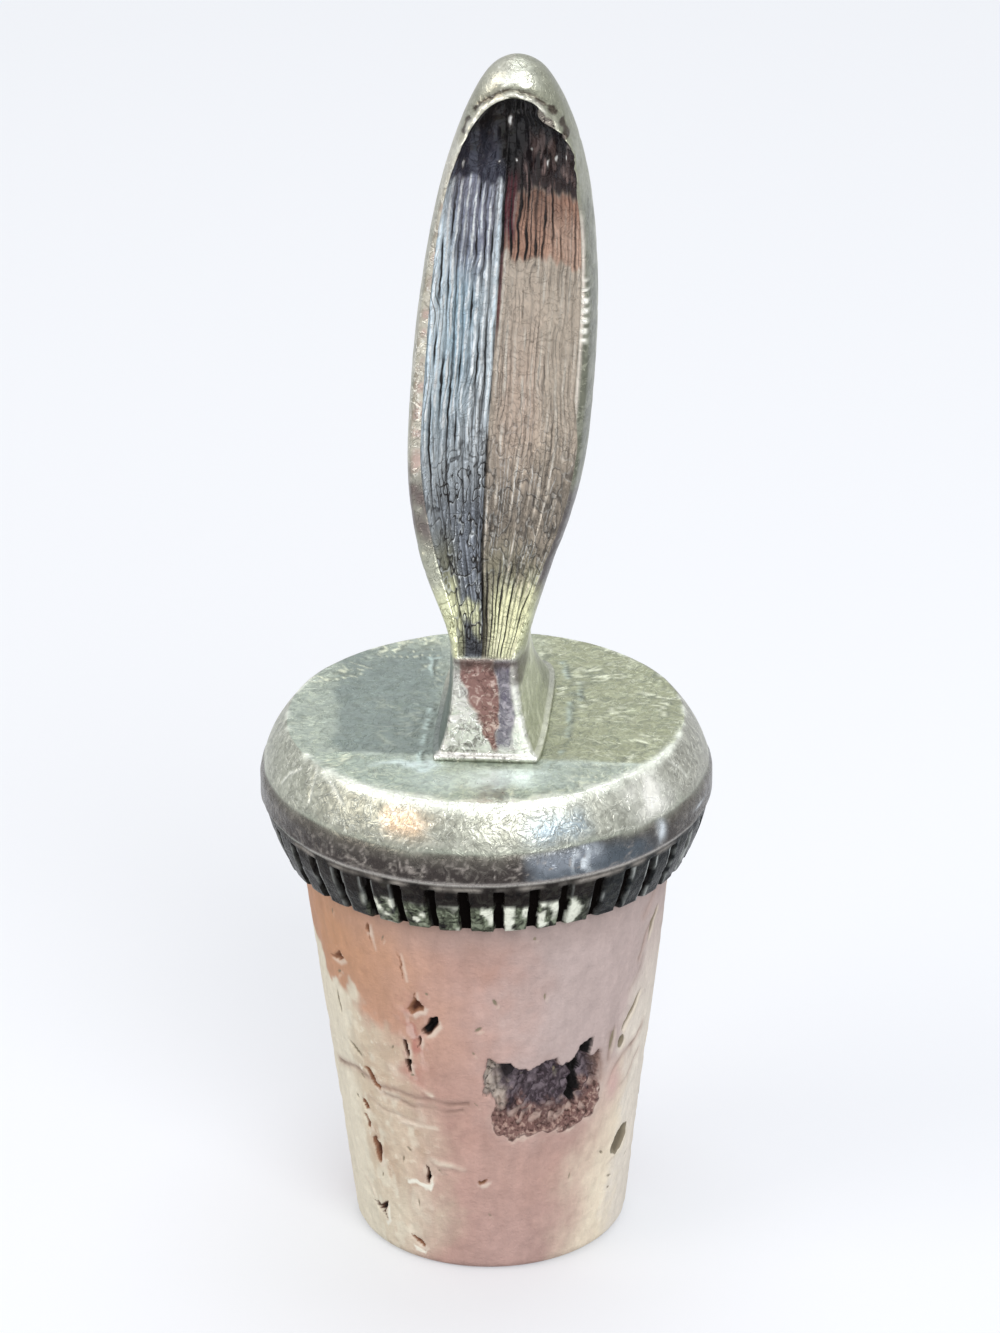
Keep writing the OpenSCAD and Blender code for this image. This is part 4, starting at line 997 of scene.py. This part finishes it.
def corkZones(degrees, z, arc, shelf, rough, tear):
    # broad tones of the cork: orange above, cream worn side with painted light, grey-pink right and creamy
    # lower right
    blur = softNoise(arc * 0.35, z * 0.30, 0.0, 43)
    spots = softNoise(arc * 1.1, z * 0.9, 0.0, 44)
    specks = softNoise(arc * 2.6, z * 2.2, 0.0, 58)
    dd = degrees + 6 * blur + 3.5 * spots + 2 * specks
    zz = z + 0.7 * blur + 0.5 * spots + 0.25 * specks
    wornTo = np.interp(zz, wornHeights, wornDegrees)
    soft = mix(16, 9, ease(11.0, 15.5, zz))
    wornAndLit = ease(soft, -soft, dd - wornTo + 2) * ease(-100, -84, dd)
    zones = {"wornAndLit": wornAndLit * mix(0.8, 1.0, ease(-30, -50, dd))}
    # brighter towards the left edge as a painted highlight, and in spots and low down
    bright = ease(-46, -64, dd) + 0.8 * ease(0.1, 0.9, spots + 0.5 * specks) + 0.5 * ease(7, 3, zz)
    zones["wornBrightAndLit"] = wornAndLit * clamp01(bright)
    dull = 0.7 * softNoise(arc * 0.8, z * 0.7, 4.0, 59) - 0.5 * specks
    zones["wornDull"] = wornAndLit * 0.7 * ease(0.0, 0.9, dull) * ease(-66, -44, dd)
    zones["orange"] = ease(4, -42, dd) * ease(9.0, 21.0, zz) * ease(-110, -85, dd) * (1 - 0.8 * wornAndLit)
    zones["deepOrange"] = (zones["orange"]
                           * np.maximum(bell(dd, -58, 18) * bell(zz, 23, 4.5),
                                        0.3 * bell(dd, -42, 12) * bell(zz, 19, 3)))
    holes = bell(degrees, -26.5, 4.5) * bell(z, 17.0, 2.6)
    zones["redBlush"] = holes * clamp01(0.3 + 1.2 * specks + 0.5 * spots)
    zones["blushLight"] = holes * ease(0.15, 0.5, softNoise(arc * 3.4, z * 2.6, 2.0, 69))
    zones["greyPink"] = ease(-8, 26, dd) * ease(7, 15, zz) * ease(100, 80, dd)
    zones["creamLow"] = ease(20, 56, dd + 0.8 * (6 - zz)) * ease(16.5, 8, zz) * ease(110, 90, dd)
    # a painted highlight along the right edge
    zones["rightEdgeHighlight"] = ease(50, 64, dd) * ease(110, 92, dd) * ease(25, 14, zz)
    zones["rosyLow"] = bell(dd, 6, 30) * bell(zz, 1.0, 5.0)
    zones["behind"] = ease(88, 130, np.abs(dd)) * (1 - wornAndLit)
    # painted shade on the cork just under the cap's band
    zones["shade"] = ease(22.5, 25.5, z + 0.4 * spots) * bell(degrees, 10, 45)
    share = clamp01((z - 9.8) / 5.6)
    side = 0.10 * np.sin((degrees - 8) / 9)
    # the tear's upper part is painted dark as shadow under its steep top edge
    zones["tearShadow"] = shelf * ease(0.36, 0.62, share + 0.45 * rough + side)
    zones["tearDim"] = shelf * ease(0.0, 0.6, softNoise(arc * 0.9, z * 0.8, 6.0, 75) + 0.4 * rough)
    zones["tearPale"] = shelf * ease(7.0, 1.0, degrees + 6 * rough) * ease(12.0, 13.2, z) * 0.85
    zones["tearHole"] = shelf * bell(degrees + 2 * rough, 6.5, 3.0) * bell(z + 0.3 * rough, 15.0, 0.9)
    zones["tearLip"] = bell(tear, -0.08, 0.12) * ease(13, 11, z + 0.3 * rough) * clamp01(0.5 + 1.5 * rough)
    zones["tearFlesh"] = bell(degrees, 50.5, 4.2) * bell(z, 12.0, 1.3)
    return zones


corkPlug = buildCork()
print("cork made")


def paint(tree, colour, coats):
    # each coat: its mask's name and its colour; then, if that isn't 1, the mask's value where the coat is
    # full,
    # or a pair of values where it starts and is full; then any patterns that break it up
    for name, shade, *rest in coats:
        full, *patterns = rest or [1]
        start, full = full if isinstance(full, tuple) else (0, full)
        mask = addNode(tree, "Attribute", attribute_name=name).outputs["Fac"]
        mask = addNode(tree, "MapRange", {0: mask, 1: start, 2: full}).outputs[0]
        for pattern in patterns:
            mask = addNode(tree, "Math", {0: mask, 1: pattern}, operation="MULTIPLY").outputs[0]
        colour = addNode(tree, "Mix", {0: mask, 6: colour, 7: toLinear(shade)}, data_type="RGBA").outputs[2]
    return colour


# grain sizes of the castings in millimetres, and how deep the cast skin's bumps look
pewter = {"cloud": 3.0, "mottle": 0.6, "grit": 0.22, "crumple": 1.1, "bump": 0.055, "roughLow": 0.26,
          "roughHigh": 0.46}


def castSkin(name, darkShade, lightShade):
    # bare pewter in two close tones, with the patterns that the coats are broken up by
    material, tree = newMaterial(name)
    place = addNode(tree, "TexCoord").outputs["Object"]
    perMm = addNode(tree, "VectorMath", {0: place, 1: (1000, 1000, 1000)}, operation="MULTIPLY").outputs[0]
    patterns = {}
    # detail, roughness and distortion of each noise
    looks = {"cloud": (4, 0.6, 0), "mottle": (4, 0.6, 1), "grit": (3, 0.6, 0.6), "crumple": (3, 0.55, 1.4)}
    for name, (detail, rough, twist) in looks.items():
        noise = {"Vector": perMm, "Scale": 1 / pewter[name], "Detail": detail, "Roughness": rough,
                 "Distortion": twist}
        patterns[name] = addNode(tree, "TexNoise", noise).outputs["Fac"]
    # thin winding lines, where the crumpled skin passes a level: painted highlights on the crests and
    # painted shade in the trenches
    for name, level, start, full in (("crest", 0.505, 0.024, 0.004), ("trench", 0.555, 0.026, 0.006)):
        away = addNode(tree, "Math", {0: patterns["crumple"], 1: level}, operation="SUBTRACT").outputs[0]
        away = addNode(tree, "Math", {0: away}, operation="ABSOLUTE").outputs[0]
        patterns[name] = addNode(tree, "MapRange", {0: away, 1: start, 2: full}).outputs[0]
    for name, source, start, full in (("tone", "cloud", 0.36, 0.64), ("fleck", "grit", 0.58, 0.66),
                                      ("pits", "mottle", 0.45, 0.36), ("patch", "mottle", 0.50, 0.60)):
        patterns[name] = addNode(tree, "MapRange", {0: patterns[source], 1: start, 2: full}).outputs[0]
    shades = {0: patterns["tone"], 6: toLinear(darkShade), 7: toLinear(lightShade)}
    colour = addNode(tree, "Mix", shades, data_type="RGBA").outputs[2]
    return material, tree, perMm, colour, patterns


def castFinish(material, tree, perMm, colour, patterns):
    # last the worn tone, the black and painted shade in the hollows, the gloss and the bumps of the cast
    # skin
    wear = addNode(tree, "MapRange", {0: patterns["mottle"], 1: 0.34, 2: 0.64, 3: 0.84, 4: 1.10}).outputs[0]
    colour = addNode(tree, "Mix", {0: 1.0, 6: colour, 7: wear}, data_type="RGBA",
                     blend_type="MULTIPLY").outputs[2]
    soot, gloss, film, dull = [addNode(tree, "Attribute", attribute_name=name).outputs["Fac"]
                               for name in ("soot", "gloss", "film", "dull")]
    colour = addNode(tree, "Mix", {0: soot, 6: colour, 7: toLinear("#120F0E")}, data_type="RGBA").outputs[2]
    rough = addNode(tree, "MapRange",
                    {0: patterns["grit"], 1: 0.3, 2: 0.7, 3: pewter["roughLow"], 4: pewter["roughHigh"]})
    rough = addNode(tree, "Mix", {0: gloss, 2: rough.outputs[0], 3: 0.15}).outputs[0]
    covered = addNode(tree, "Math", {0: soot, 1: film}, operation="MAXIMUM").outputs[0]
    # where the coloured film and painted reflections lie, the skin isn't metal
    bare = addNode(tree, "MapRange", {0: covered, 3: 1.0, 4: 0.35}).outputs[0]
    bare = addNode(tree, "Math", {0: dull, 1: -0.41, 2: bare}, operation="MULTIPLY_ADD",
                   use_clamp=True).outputs[0]
    dull = addNode(tree, "Math", {0: soot, 1: dull}, operation="MAXIMUM").outputs[0]
    pitted = addNode(tree, "TexNoise",
                     {"Vector": perMm, "Scale": 1.5, "Detail": 2, "Roughness": 0.5, "Distortion": 1.6})
    heights = addNode(tree, "Math", {0: patterns["grit"], 1: 0.25, 2: pitted.outputs["Fac"]},
                      operation="MULTIPLY_ADD")
    heights = addNode(tree, "Math", {0: patterns["crest"], 1: 0.5, 2: heights.outputs[0]},
                      operation="MULTIPLY_ADD")
    bump = addNode(tree, "Bump", {"Height": heights.outputs[0], "Strength": 1.0,
                                  "Distance": pewter["bump"] * mm})
    # the soot and painted shade hardly reflect
    sheen = addNode(tree, "MapRange", {0: dull, 3: 0.5, 4: 0.0}).outputs[0]
    shader = addNode(tree, "BsdfPrincipled",
                     {"Base Color": colour, "Roughness": rough, "Normal": bump.outputs[0],
                      "Metallic": bare, "Specular IOR Level": sheen})
    addNode(tree, "OutputMaterial", {0: shader.outputs[0]})
    return material


def finialPewter():
    # Cast pewter, blackened: bright ribs, black grooves, painted highlights, blue and copper painted
    # reflections.
    material, tree, perMm, colour, patterns = castSkin("castPewterPaintedSheens", "#A3A494", "#BABBAC")
    crest, trench, fleck, pits, patch = [patterns[k] for k in ("crest", "trench", "fleck", "pits", "patch")]
    # grooves, crests and squiggles from the smooth fields on the mesh
    rib, fineRib, worm, addedLight = [addNode(tree, "Attribute", attribute_name=name).outputs["Fac"]
                                      for name in ("ribPhase", "finePhase", "wormField", "ribLight")]
    toRib, toHalf, toFine = [addNode(tree, "Math", {0: phase, 1: turn}, operation="PINGPONG").outputs[0]
                             for phase, turn in ((rib, 0.5), (rib, 0.25), (fineRib, 0.5))]
    beside = addNode(tree, "Math", {0: worm, 1: 0.2}, operation="SUBTRACT").outputs[0]
    toWorm, toBeside = [addNode(tree, "Math", {0: v}, operation="ABSOLUTE").outputs[0]
                        for v in (worm, beside)]
    edges = [(toRib, 0.15, 0.07), (toRib, 0.23, 0.11), (toRib, 0.32, 0.41), (toHalf, 0.10, 0.05),
             (toFine, 0.17, 0.07), (toFine, 0.36, 0.46), (toWorm, 0.20, 0.05), (toBeside, 0.12, 0.04)]
    ribLine, wideLine, ribTop, halfLine, fineLine, fineTop, wormLine, wormTop = [
        addNode(tree, "MapRange", {0: field, 1: start, 2: full}).outputs[0] for field, start, full in edges]
    colour = paint(tree, colour, [
        ("creamRim", "#CBC5B5"), ("pinkRim", "#C6AFA3"), ("outerLeft", "#929381"), ("mauve", "#6B605F"),
        ("creamRim", "#F6F3E5", 1.3, crest), ("creamRim", "#857F72", 1.7, trench),
        ("darkFlank", "#6E7062"), ("slate", "#65605F"), ("darkFlank", "#A9AB99", 1.6, crest),
        ("paleRim", "#E2D8CC"), ("neckStraw", "#D3D5B0"), ("neckStraw", "#6E6C4C", 1.2, trench),
        ("hoodShade", "#9A9B89"), ("hoodTopHighlight", "#FDFFF3"), ("rimGlint", "#FFFDF2", 0.8),
        ("lipShadeAndNicks", "#554E45", 0.85), ("lipBeadHighlight", "#DAD8CA", 0.8), ("rawLip", "#7B756D"),
        ("rawLip", "#26201F", 1, pits), ("rawLip", "#C9C5B9", 0.8, crest),
        ("rawLip", "#3A302E", 1, trench), ("steel", "#ACB3B8"), ("icy", "#A9C8DA"), ("violet", "#82849B"),
        ("navy", "#3E404D"), ("charcoal", "#747A83"), ("tan", "#C4B6A6"), ("rose", "#CDB3A2"),
        ("copper", "#B48B76"), ("peach", "#CBAA96"), ("umber", "#2B1D1C"), ("drip", "#826C67"),
        ("garnet", "#561D26"), ("taupe", "#7B7369"), ("moss", "#7D7C66"), ("straw", "#D4D6B0"),
        ("frost", "#E2F4FF"), ("steel", "#F4FBFF", 1, ribTop, addedLight),
        ("tan", "#D8CFC2", 1, ribTop, addedLight), ("fineLight", "#E3EEF6", 1, fineTop),
        ("wormLight", "#C3C9CB", 1, wormTop), ("fineDark", "#3A3836", 1, fineLine),
        ("wormDark", "#262424", 0.8, wormLine), ("tintDark", "#1F1412", 1, wideLine),
        ("halfDark", "#2A1B18", 1, halfLine), ("ribDark", "#1C1817", 1, ribLine),
        ("hoodBlack", "#171415"), ("flake", "#9D938C", (0.15, 0.75)), ("rubbed", "#77706C", (0.05, 0.8)),
        ("rubbed", "#FFFFFB", (0.45, 0.85)), ("footSilver", "#E0DED6"),
        ("footSilver", "#857F7A", 1.3, pits), ("footSilver", "#77716D", 2.4, trench),
        ("footSilver", "#FFFFFA", 1, crest), ("footRed", "#94716A"), ("footLilac", "#87838C"),
        ("footRed", "#D5C0B6", 1.5, patch), ("footLilac", "#BBB4BC", 1.6, patch),
        ("footRed", "#5F3F3B", 1.2, trench), ("footLilac", "#5D566B", 1.3, trench),
        ("footLeft", "#88908A"), ("footRight", "#CCCEB7"), ("footRipple", "#ECEDD8"),
        ("footEdgeHighlight", "#F8F8EE"), ("footShadow", "#453630"), ("creamRim", "#FFFFFA", 2.5, fleck)])
    return castFinish(material, tree, perMm, colour, patterns)


def capPewter():
    # Cast pewter cap: crumpled green-grey top, shoulder bright with painted light, side and milled band left
    # black and glossy.
    material, tree, perMm, colour, patterns = castSkin("castPewterCap", "#9FA697", "#B4B9A9")
    crest, trench, pits, patch = [patterns[k] for k in ("crest", "trench", "pits", "patch")]
    colour = paint(tree, colour, [
        ("topFace", "#B2BBAE"), ("teal", "#919C95"), ("olive", "#A9AC8E"), ("strip", "#B7C3B5"),
        ("topFace", "#87917F", 2.2, trench), ("topFace", "#7F8A80", 4.5, pits),
        ("shine", "#E9EED6", 2, crest), ("shine", "#DDE2C2", 5, patch), ("curlShade", "#7F8474", 1.6),
        ("curl", "#E9ECD2", 0.9), ("stripEdge", "#D3DDD0"), ("solderGlow", "#ECFAF4"),
        ("rippleShade", "#6F766C"), ("rippleHighlight", "#D3E4DC"), ("shoulder", "#A5A699"),
        ("leftGrey", "#AFB1A2"), ("rightGrey", "#A8A79B"), ("dimLeft", "#95968A"), ("creamHighlight", "#C5C6B8"),
        ("coolReflection", "#98A4A9"), ("shoulder", "#807F74", 2.2, trench), ("shoulder", "#8B8B80", 2.6, pits),
        ("shoulder", "#CFD0C2", 3.4, patch), ("shoulder", "#E3E4D7", 2, crest),
        ("streakHighlight", "#FFFEF4", 0.6), ("warmReflection", "#E5C9AA", 1.1), ("warmReflection", "#FBF2E2", 1.5, patch),
        ("folds", "#F3F4E8", 1.5), ("topEdge", "#F9FCED", 0.7), ("side", "#66625A"),
        ("sideDark", "#3B3431"), ("side", "#8D8880", 3, patch), ("sideBlueReflection", "#4E575F"),
        ("sidePaleReflection", "#8B929B"), ("scratch", "#A69E97"), ("sideGlint", "#E4ECF1"), ("band", "#1B1A18"),
        ("toothBrown", "#231E1C"), ("toothBlue", "#1E2225"), ("band", "#45463F", 3.2, patch),
        ("toothLowReflection", "#545A4B"), ("toothLowReflection", "#11110F", 0.9, pits), ("toothLowReflection", "#9DA791", 1.5, patch),
        ("band", "#0B0A0A", 1.4, pits), ("landHighlight", "#A9A39C", 1.1), ("stepHighlight", "#BDB6B2", 0.9),
        ("toothGlint", "#FBFFF0", 0.8), ("notchEdgeHighlight", "#C6CBC9")])
    return castFinish(material, tree, perMm, colour, patterns)


def naturalCork():
    # Punched natural cork: dry and velvety, brown-walled pores, worn cream side with painted light, dark
    # torn patch with painted shadow.
    material, tree = newMaterial("naturalCork")
    place = addNode(tree, "TexCoord").outputs["Object"]
    perMm = addNode(tree, "VectorMath", {0: place, 1: (1000, 1000, 1000)}, operation="MULTIPLY").outputs[0]
    tall = addNode(tree, "VectorMath", {0: place, 1: (1000, 1000, 260)}, operation="MULTIPLY").outputs[0]
    # clouds about 4.5 mm across, grain streaks 1 mm wide and 4 mm tall, grains 0.5 mm and crumbs 0.35 mm
    looks = {"Vector": (perMm, tall, perMm, perMm), "Scale": (0.22, 0.9, 1.8, 3.6), "Detail": (4, 4, 5, 3),
             "Roughness": (0.55, 0.65, 0.7, 0.5), "Distortion": (0, 0, 0, 0.3)}
    clouds, streaks, fine, crumbs = [
        addNode(tree, "TexNoise", {key: row[i] for key, row in looks.items()}).outputs["Fac"]
        for i in range(4)]
    edges = [(clouds, 0.35, 0.65), (crumbs, 0.55, 0.62), (crumbs, 0.46, 0.38), (fine, 0.56, 0.68)]
    tone, flecks, pits, grains = [
        addNode(tree, "MapRange", {0: field, 1: start, 2: full}).outputs[0] for field, start, full in edges]
    colour = addNode(tree, "Mix", {0: tone, 6: toLinear("#C19C91"), 7: toLinear("#CDA99E")},
                     data_type="RGBA").outputs[2]
    colour = paint(tree, colour, [
        ("behind", "#C9AA92"), ("greyPink", "#CBB8B4"), ("rosyLow", "#C8A79F"), ("orange", "#CDA189"),
        ("deepOrange", "#CE9D7B", 1.1), ("creamLow", "#FFF2DB"), ("rightEdgeHighlight", "#F9F0E3"),
        ("wornAndLit", "#E2D3BC"), ("wornDull", "#CDB39C"), ("wornBrightAndLit", "#F5EEDB"),
        ("wornAndLit", "#F6F0E0", 1.8, grains), ("shade", "#AE9A95", 1.6), ("redBlush", "#B97B70", 1.2),
        ("blushLight", "#E6C6BC", 1.3)])
    for field, start, full, darker, lighter in ((streaks, 0.35, 0.65, 0.93, 1.06),
                                                (fine, 0.30, 0.70, 0.94, 1.05)):
        grain = addNode(tree, "MapRange", {0: field, 1: start, 2: full, 3: darker, 4: lighter}).outputs[0]
        grained = {0: 1.0, 6: colour, 7: grain}
        colour = addNode(tree, "Mix", grained, data_type="RGBA", blend_type="MULTIPLY").outputs[2]
    torn = addNode(tree, "Attribute", attribute_name="tear").outputs["Fac"]
    torn = addNode(tree, "MapRange", {0: torn, 1: 0.49, 2: 0.56}).outputs[0]
    tornColour = addNode(tree, "Mix", {0: flecks, 6: toLinear("#80605A"), 7: toLinear("#B4968B")},
                         data_type="RGBA").outputs[2]
    tornColour = paint(tree, tornColour, [
        ("tearDim", "#5B4542", 2), ("tear", "#4A322D", (0.45, 0.6), pits),
        ("slant", "#C4ACA2", (0.55, 1)), ("tearShadow", "#40343B"), ("tearShadow", "#847781", 1.8, flecks),
        ("tearShadow", "#2C2429", 1.2, pits), ("stroke", "#A0929A", 1.9), ("tearPale", "#D8CCC0"),
        ("tearPale", "#4E4643", 1, pits), ("tearHole", "#231B1F", (0.25, 0.7))])
    colour = addNode(tree, "Mix", {0: torn, 6: colour, 7: tornColour}, data_type="RGBA").outputs[2]
    colour = paint(tree, colour, [
        ("tearLip", "#E2CDBF", 1.2), ("foldShade", "#AD9186", 1.5), ("fold", "#84685D", (0.1, 1.1)),
        ("ridge", "#EBDCCB"), ("tearFlesh", "#E0BFB7"), ("lensRim", "#F1E6D2", 1.6),
        ("holeRimHighlight", "#F3E7D8", 1.1), ("chalk", "#FFFDF0", (0.48, 0.62)),
        ("lens", "#948975", (0.48, 0.54)), ("lens", "#776D5B", (0.6, 0.76)),
        ("rustHole", "#9C7056", (0.46, 0.54)), ("rustHole", "#5E3727", (0.57, 0.68)),
        ("darkHole", "#6A4A3C", (0.44, 0.51)), ("darkHole", "#130C0B", (0.51, 0.56)),
        ("crack", "#0E0909", (0.46, 0.52))])
    bumpHeight = addNode(tree, "Math", {0: crumbs, 1: torn, 2: fine}, operation="MULTIPLY_ADD").outputs[0]
    bump = addNode(tree, "Bump", {"Height": bumpHeight, "Strength": 0.8, "Distance": 0.16 * mm}).outputs[0]
    shader = addNode(tree, "BsdfPrincipled",
                     {"Base Color": colour, "Roughness": 0.75, "Normal": bump, "IOR": 1.45})
    addNode(tree, "OutputMaterial", {0: shader.outputs[0]})
    return material


def studSteel():
    # Zinc-coated mild steel, hidden in the joint: plain dull grey.
    material, tree = newMaterial("zincCoatedSteel")
    place = addNode(tree, "TexCoord").outputs["Object"]
    grain = addNode(tree, "TexNoise", {"Vector": place, "Scale": 2500, "Detail": 3})
    colour = addNode(tree, "Mix", {0: grain.outputs["Fac"], 6: toLinear("#7E8184"), 7: toLinear("#A3A6A8")},
                     data_type="RGBA")
    shader = addNode(tree, "BsdfPrincipled",
                     {"Base Color": colour.outputs[2], "Roughness": 0.4, "Metallic": 1.0})
    addNode(tree, "OutputMaterial", {0: shader.outputs[0]})
    return material


finialCasting.data.materials.append(finialPewter())
capCasting.data.materials.append(capPewter())
corkPlug.data.materials.append(naturalCork())
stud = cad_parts["stud"]
stud.data.materials.clear()
stud.data.materials.append(studSteel())
print("materials made")


# a pale floor, soft boxes and an even surround
stage = {"floor": "#F5F7FB", "surround": 0.55, "keyPower": 2.35, "fillPower": 0.8, "topPower": 1.0,
         "aim": 0.04}


def addLamp(name, place, size, power, tint):
    lampData = bpy.data.lights.new(name, "AREA")
    lampData.shape = "DISK"
    lampData.size = size
    lampData.energy = power
    lampData.color = toLinear(tint)[:3]
    lamp = bpy.data.objects.new(name, lampData)
    bpy.context.scene.collection.objects.link(lamp)
    lamp.location = place
    lamp.rotation_euler = (Vector(place) - Vector((0, 0, stage["aim"]))).to_track_quat("Z", "Y").to_euler()


def buildFloor():
    mesh = bpy.data.meshes.new("floor")
    half = 3.0
    mesh.from_pydata([(-half, -half, 0), (half, -half, 0), (half, half, 0), (-half, half, 0)], [],
                     [(0, 1, 2, 3)])
    floor = bpy.data.objects.new("floor", mesh)
    bpy.context.scene.collection.objects.link(floor)
    material, tree = newMaterial("paleFloor")
    path = addNode(tree, "LightPath")
    seen = addNode(tree, "Math", {0: path.outputs["Is Camera Ray"], 1: path.outputs["Is Glossy Ray"]},
                   operation="MAXIMUM")
    shader = addNode(tree, "BsdfPrincipled", {"Base Color": toLinear("#B9BABC"), "Roughness": 0.9,
                                              "Specular IOR Level": 0.0})
    # the floor looks paler than it lights the part, and keeps its shadow
    shown = addNode(tree, "BsdfDiffuse", {"Color": toLinear("#C8CACE")})
    glow = addNode(tree, "Emission", {"Color": toLinear(stage["floor"]), "Strength": 0.36})
    lit = addNode(tree, "AddShader", {0: shown.outputs[0], 1: glow.outputs[0]})
    chosen = addNode(tree, "MixShader", {0: seen.outputs[0], 1: shader.outputs[0], 2: lit.outputs[0]})
    addNode(tree, "OutputMaterial", {0: chosen.outputs[0]})
    mesh.materials.append(material)


def buildSurround():
    world = bpy.data.worlds.new("surround")
    bpy.context.scene.world = world
    world.use_nodes = True
    tree = world.node_tree
    tree.nodes.clear()
    path = addNode(tree, "LightPath")
    seen = addNode(tree, "Math", {0: path.outputs["Is Camera Ray"], 1: path.outputs["Is Glossy Ray"]},
                   operation="MAXIMUM")
    seen = addNode(tree, "Math", {0: seen.outputs[0], 1: path.outputs["Is Transmission Ray"]},
                   operation="MAXIMUM")
    plain = addNode(tree, "Background", {"Color": toLinear("#FFFFFF"), "Strength": stage["surround"]})
    pale = addNode(tree, "Background", {"Color": toLinear(stage["floor"]), "Strength": 1.0})
    chosen = addNode(tree, "MixShader", {0: seen.outputs[0], 1: plain.outputs[0], 2: pale.outputs[0]})
    addNode(tree, "OutputWorld", {0: chosen.outputs[0]})


buildFloor()
buildSurround()
addLamp("keyBox", (0.18, -0.54, 0.42), 0.45, stage["keyPower"], "#FFFFFF")
addLamp("fillBox", (-0.45, -0.20, 0.30), 0.35, stage["fillPower"], "#FFF6EA")
addLamp("topBox", (0.05, 0.15, 0.60), 0.40, stage["topPower"], "#F4F8FF")
bpy.context.scene.view_settings.view_transform = "Standard"
print("stage built")
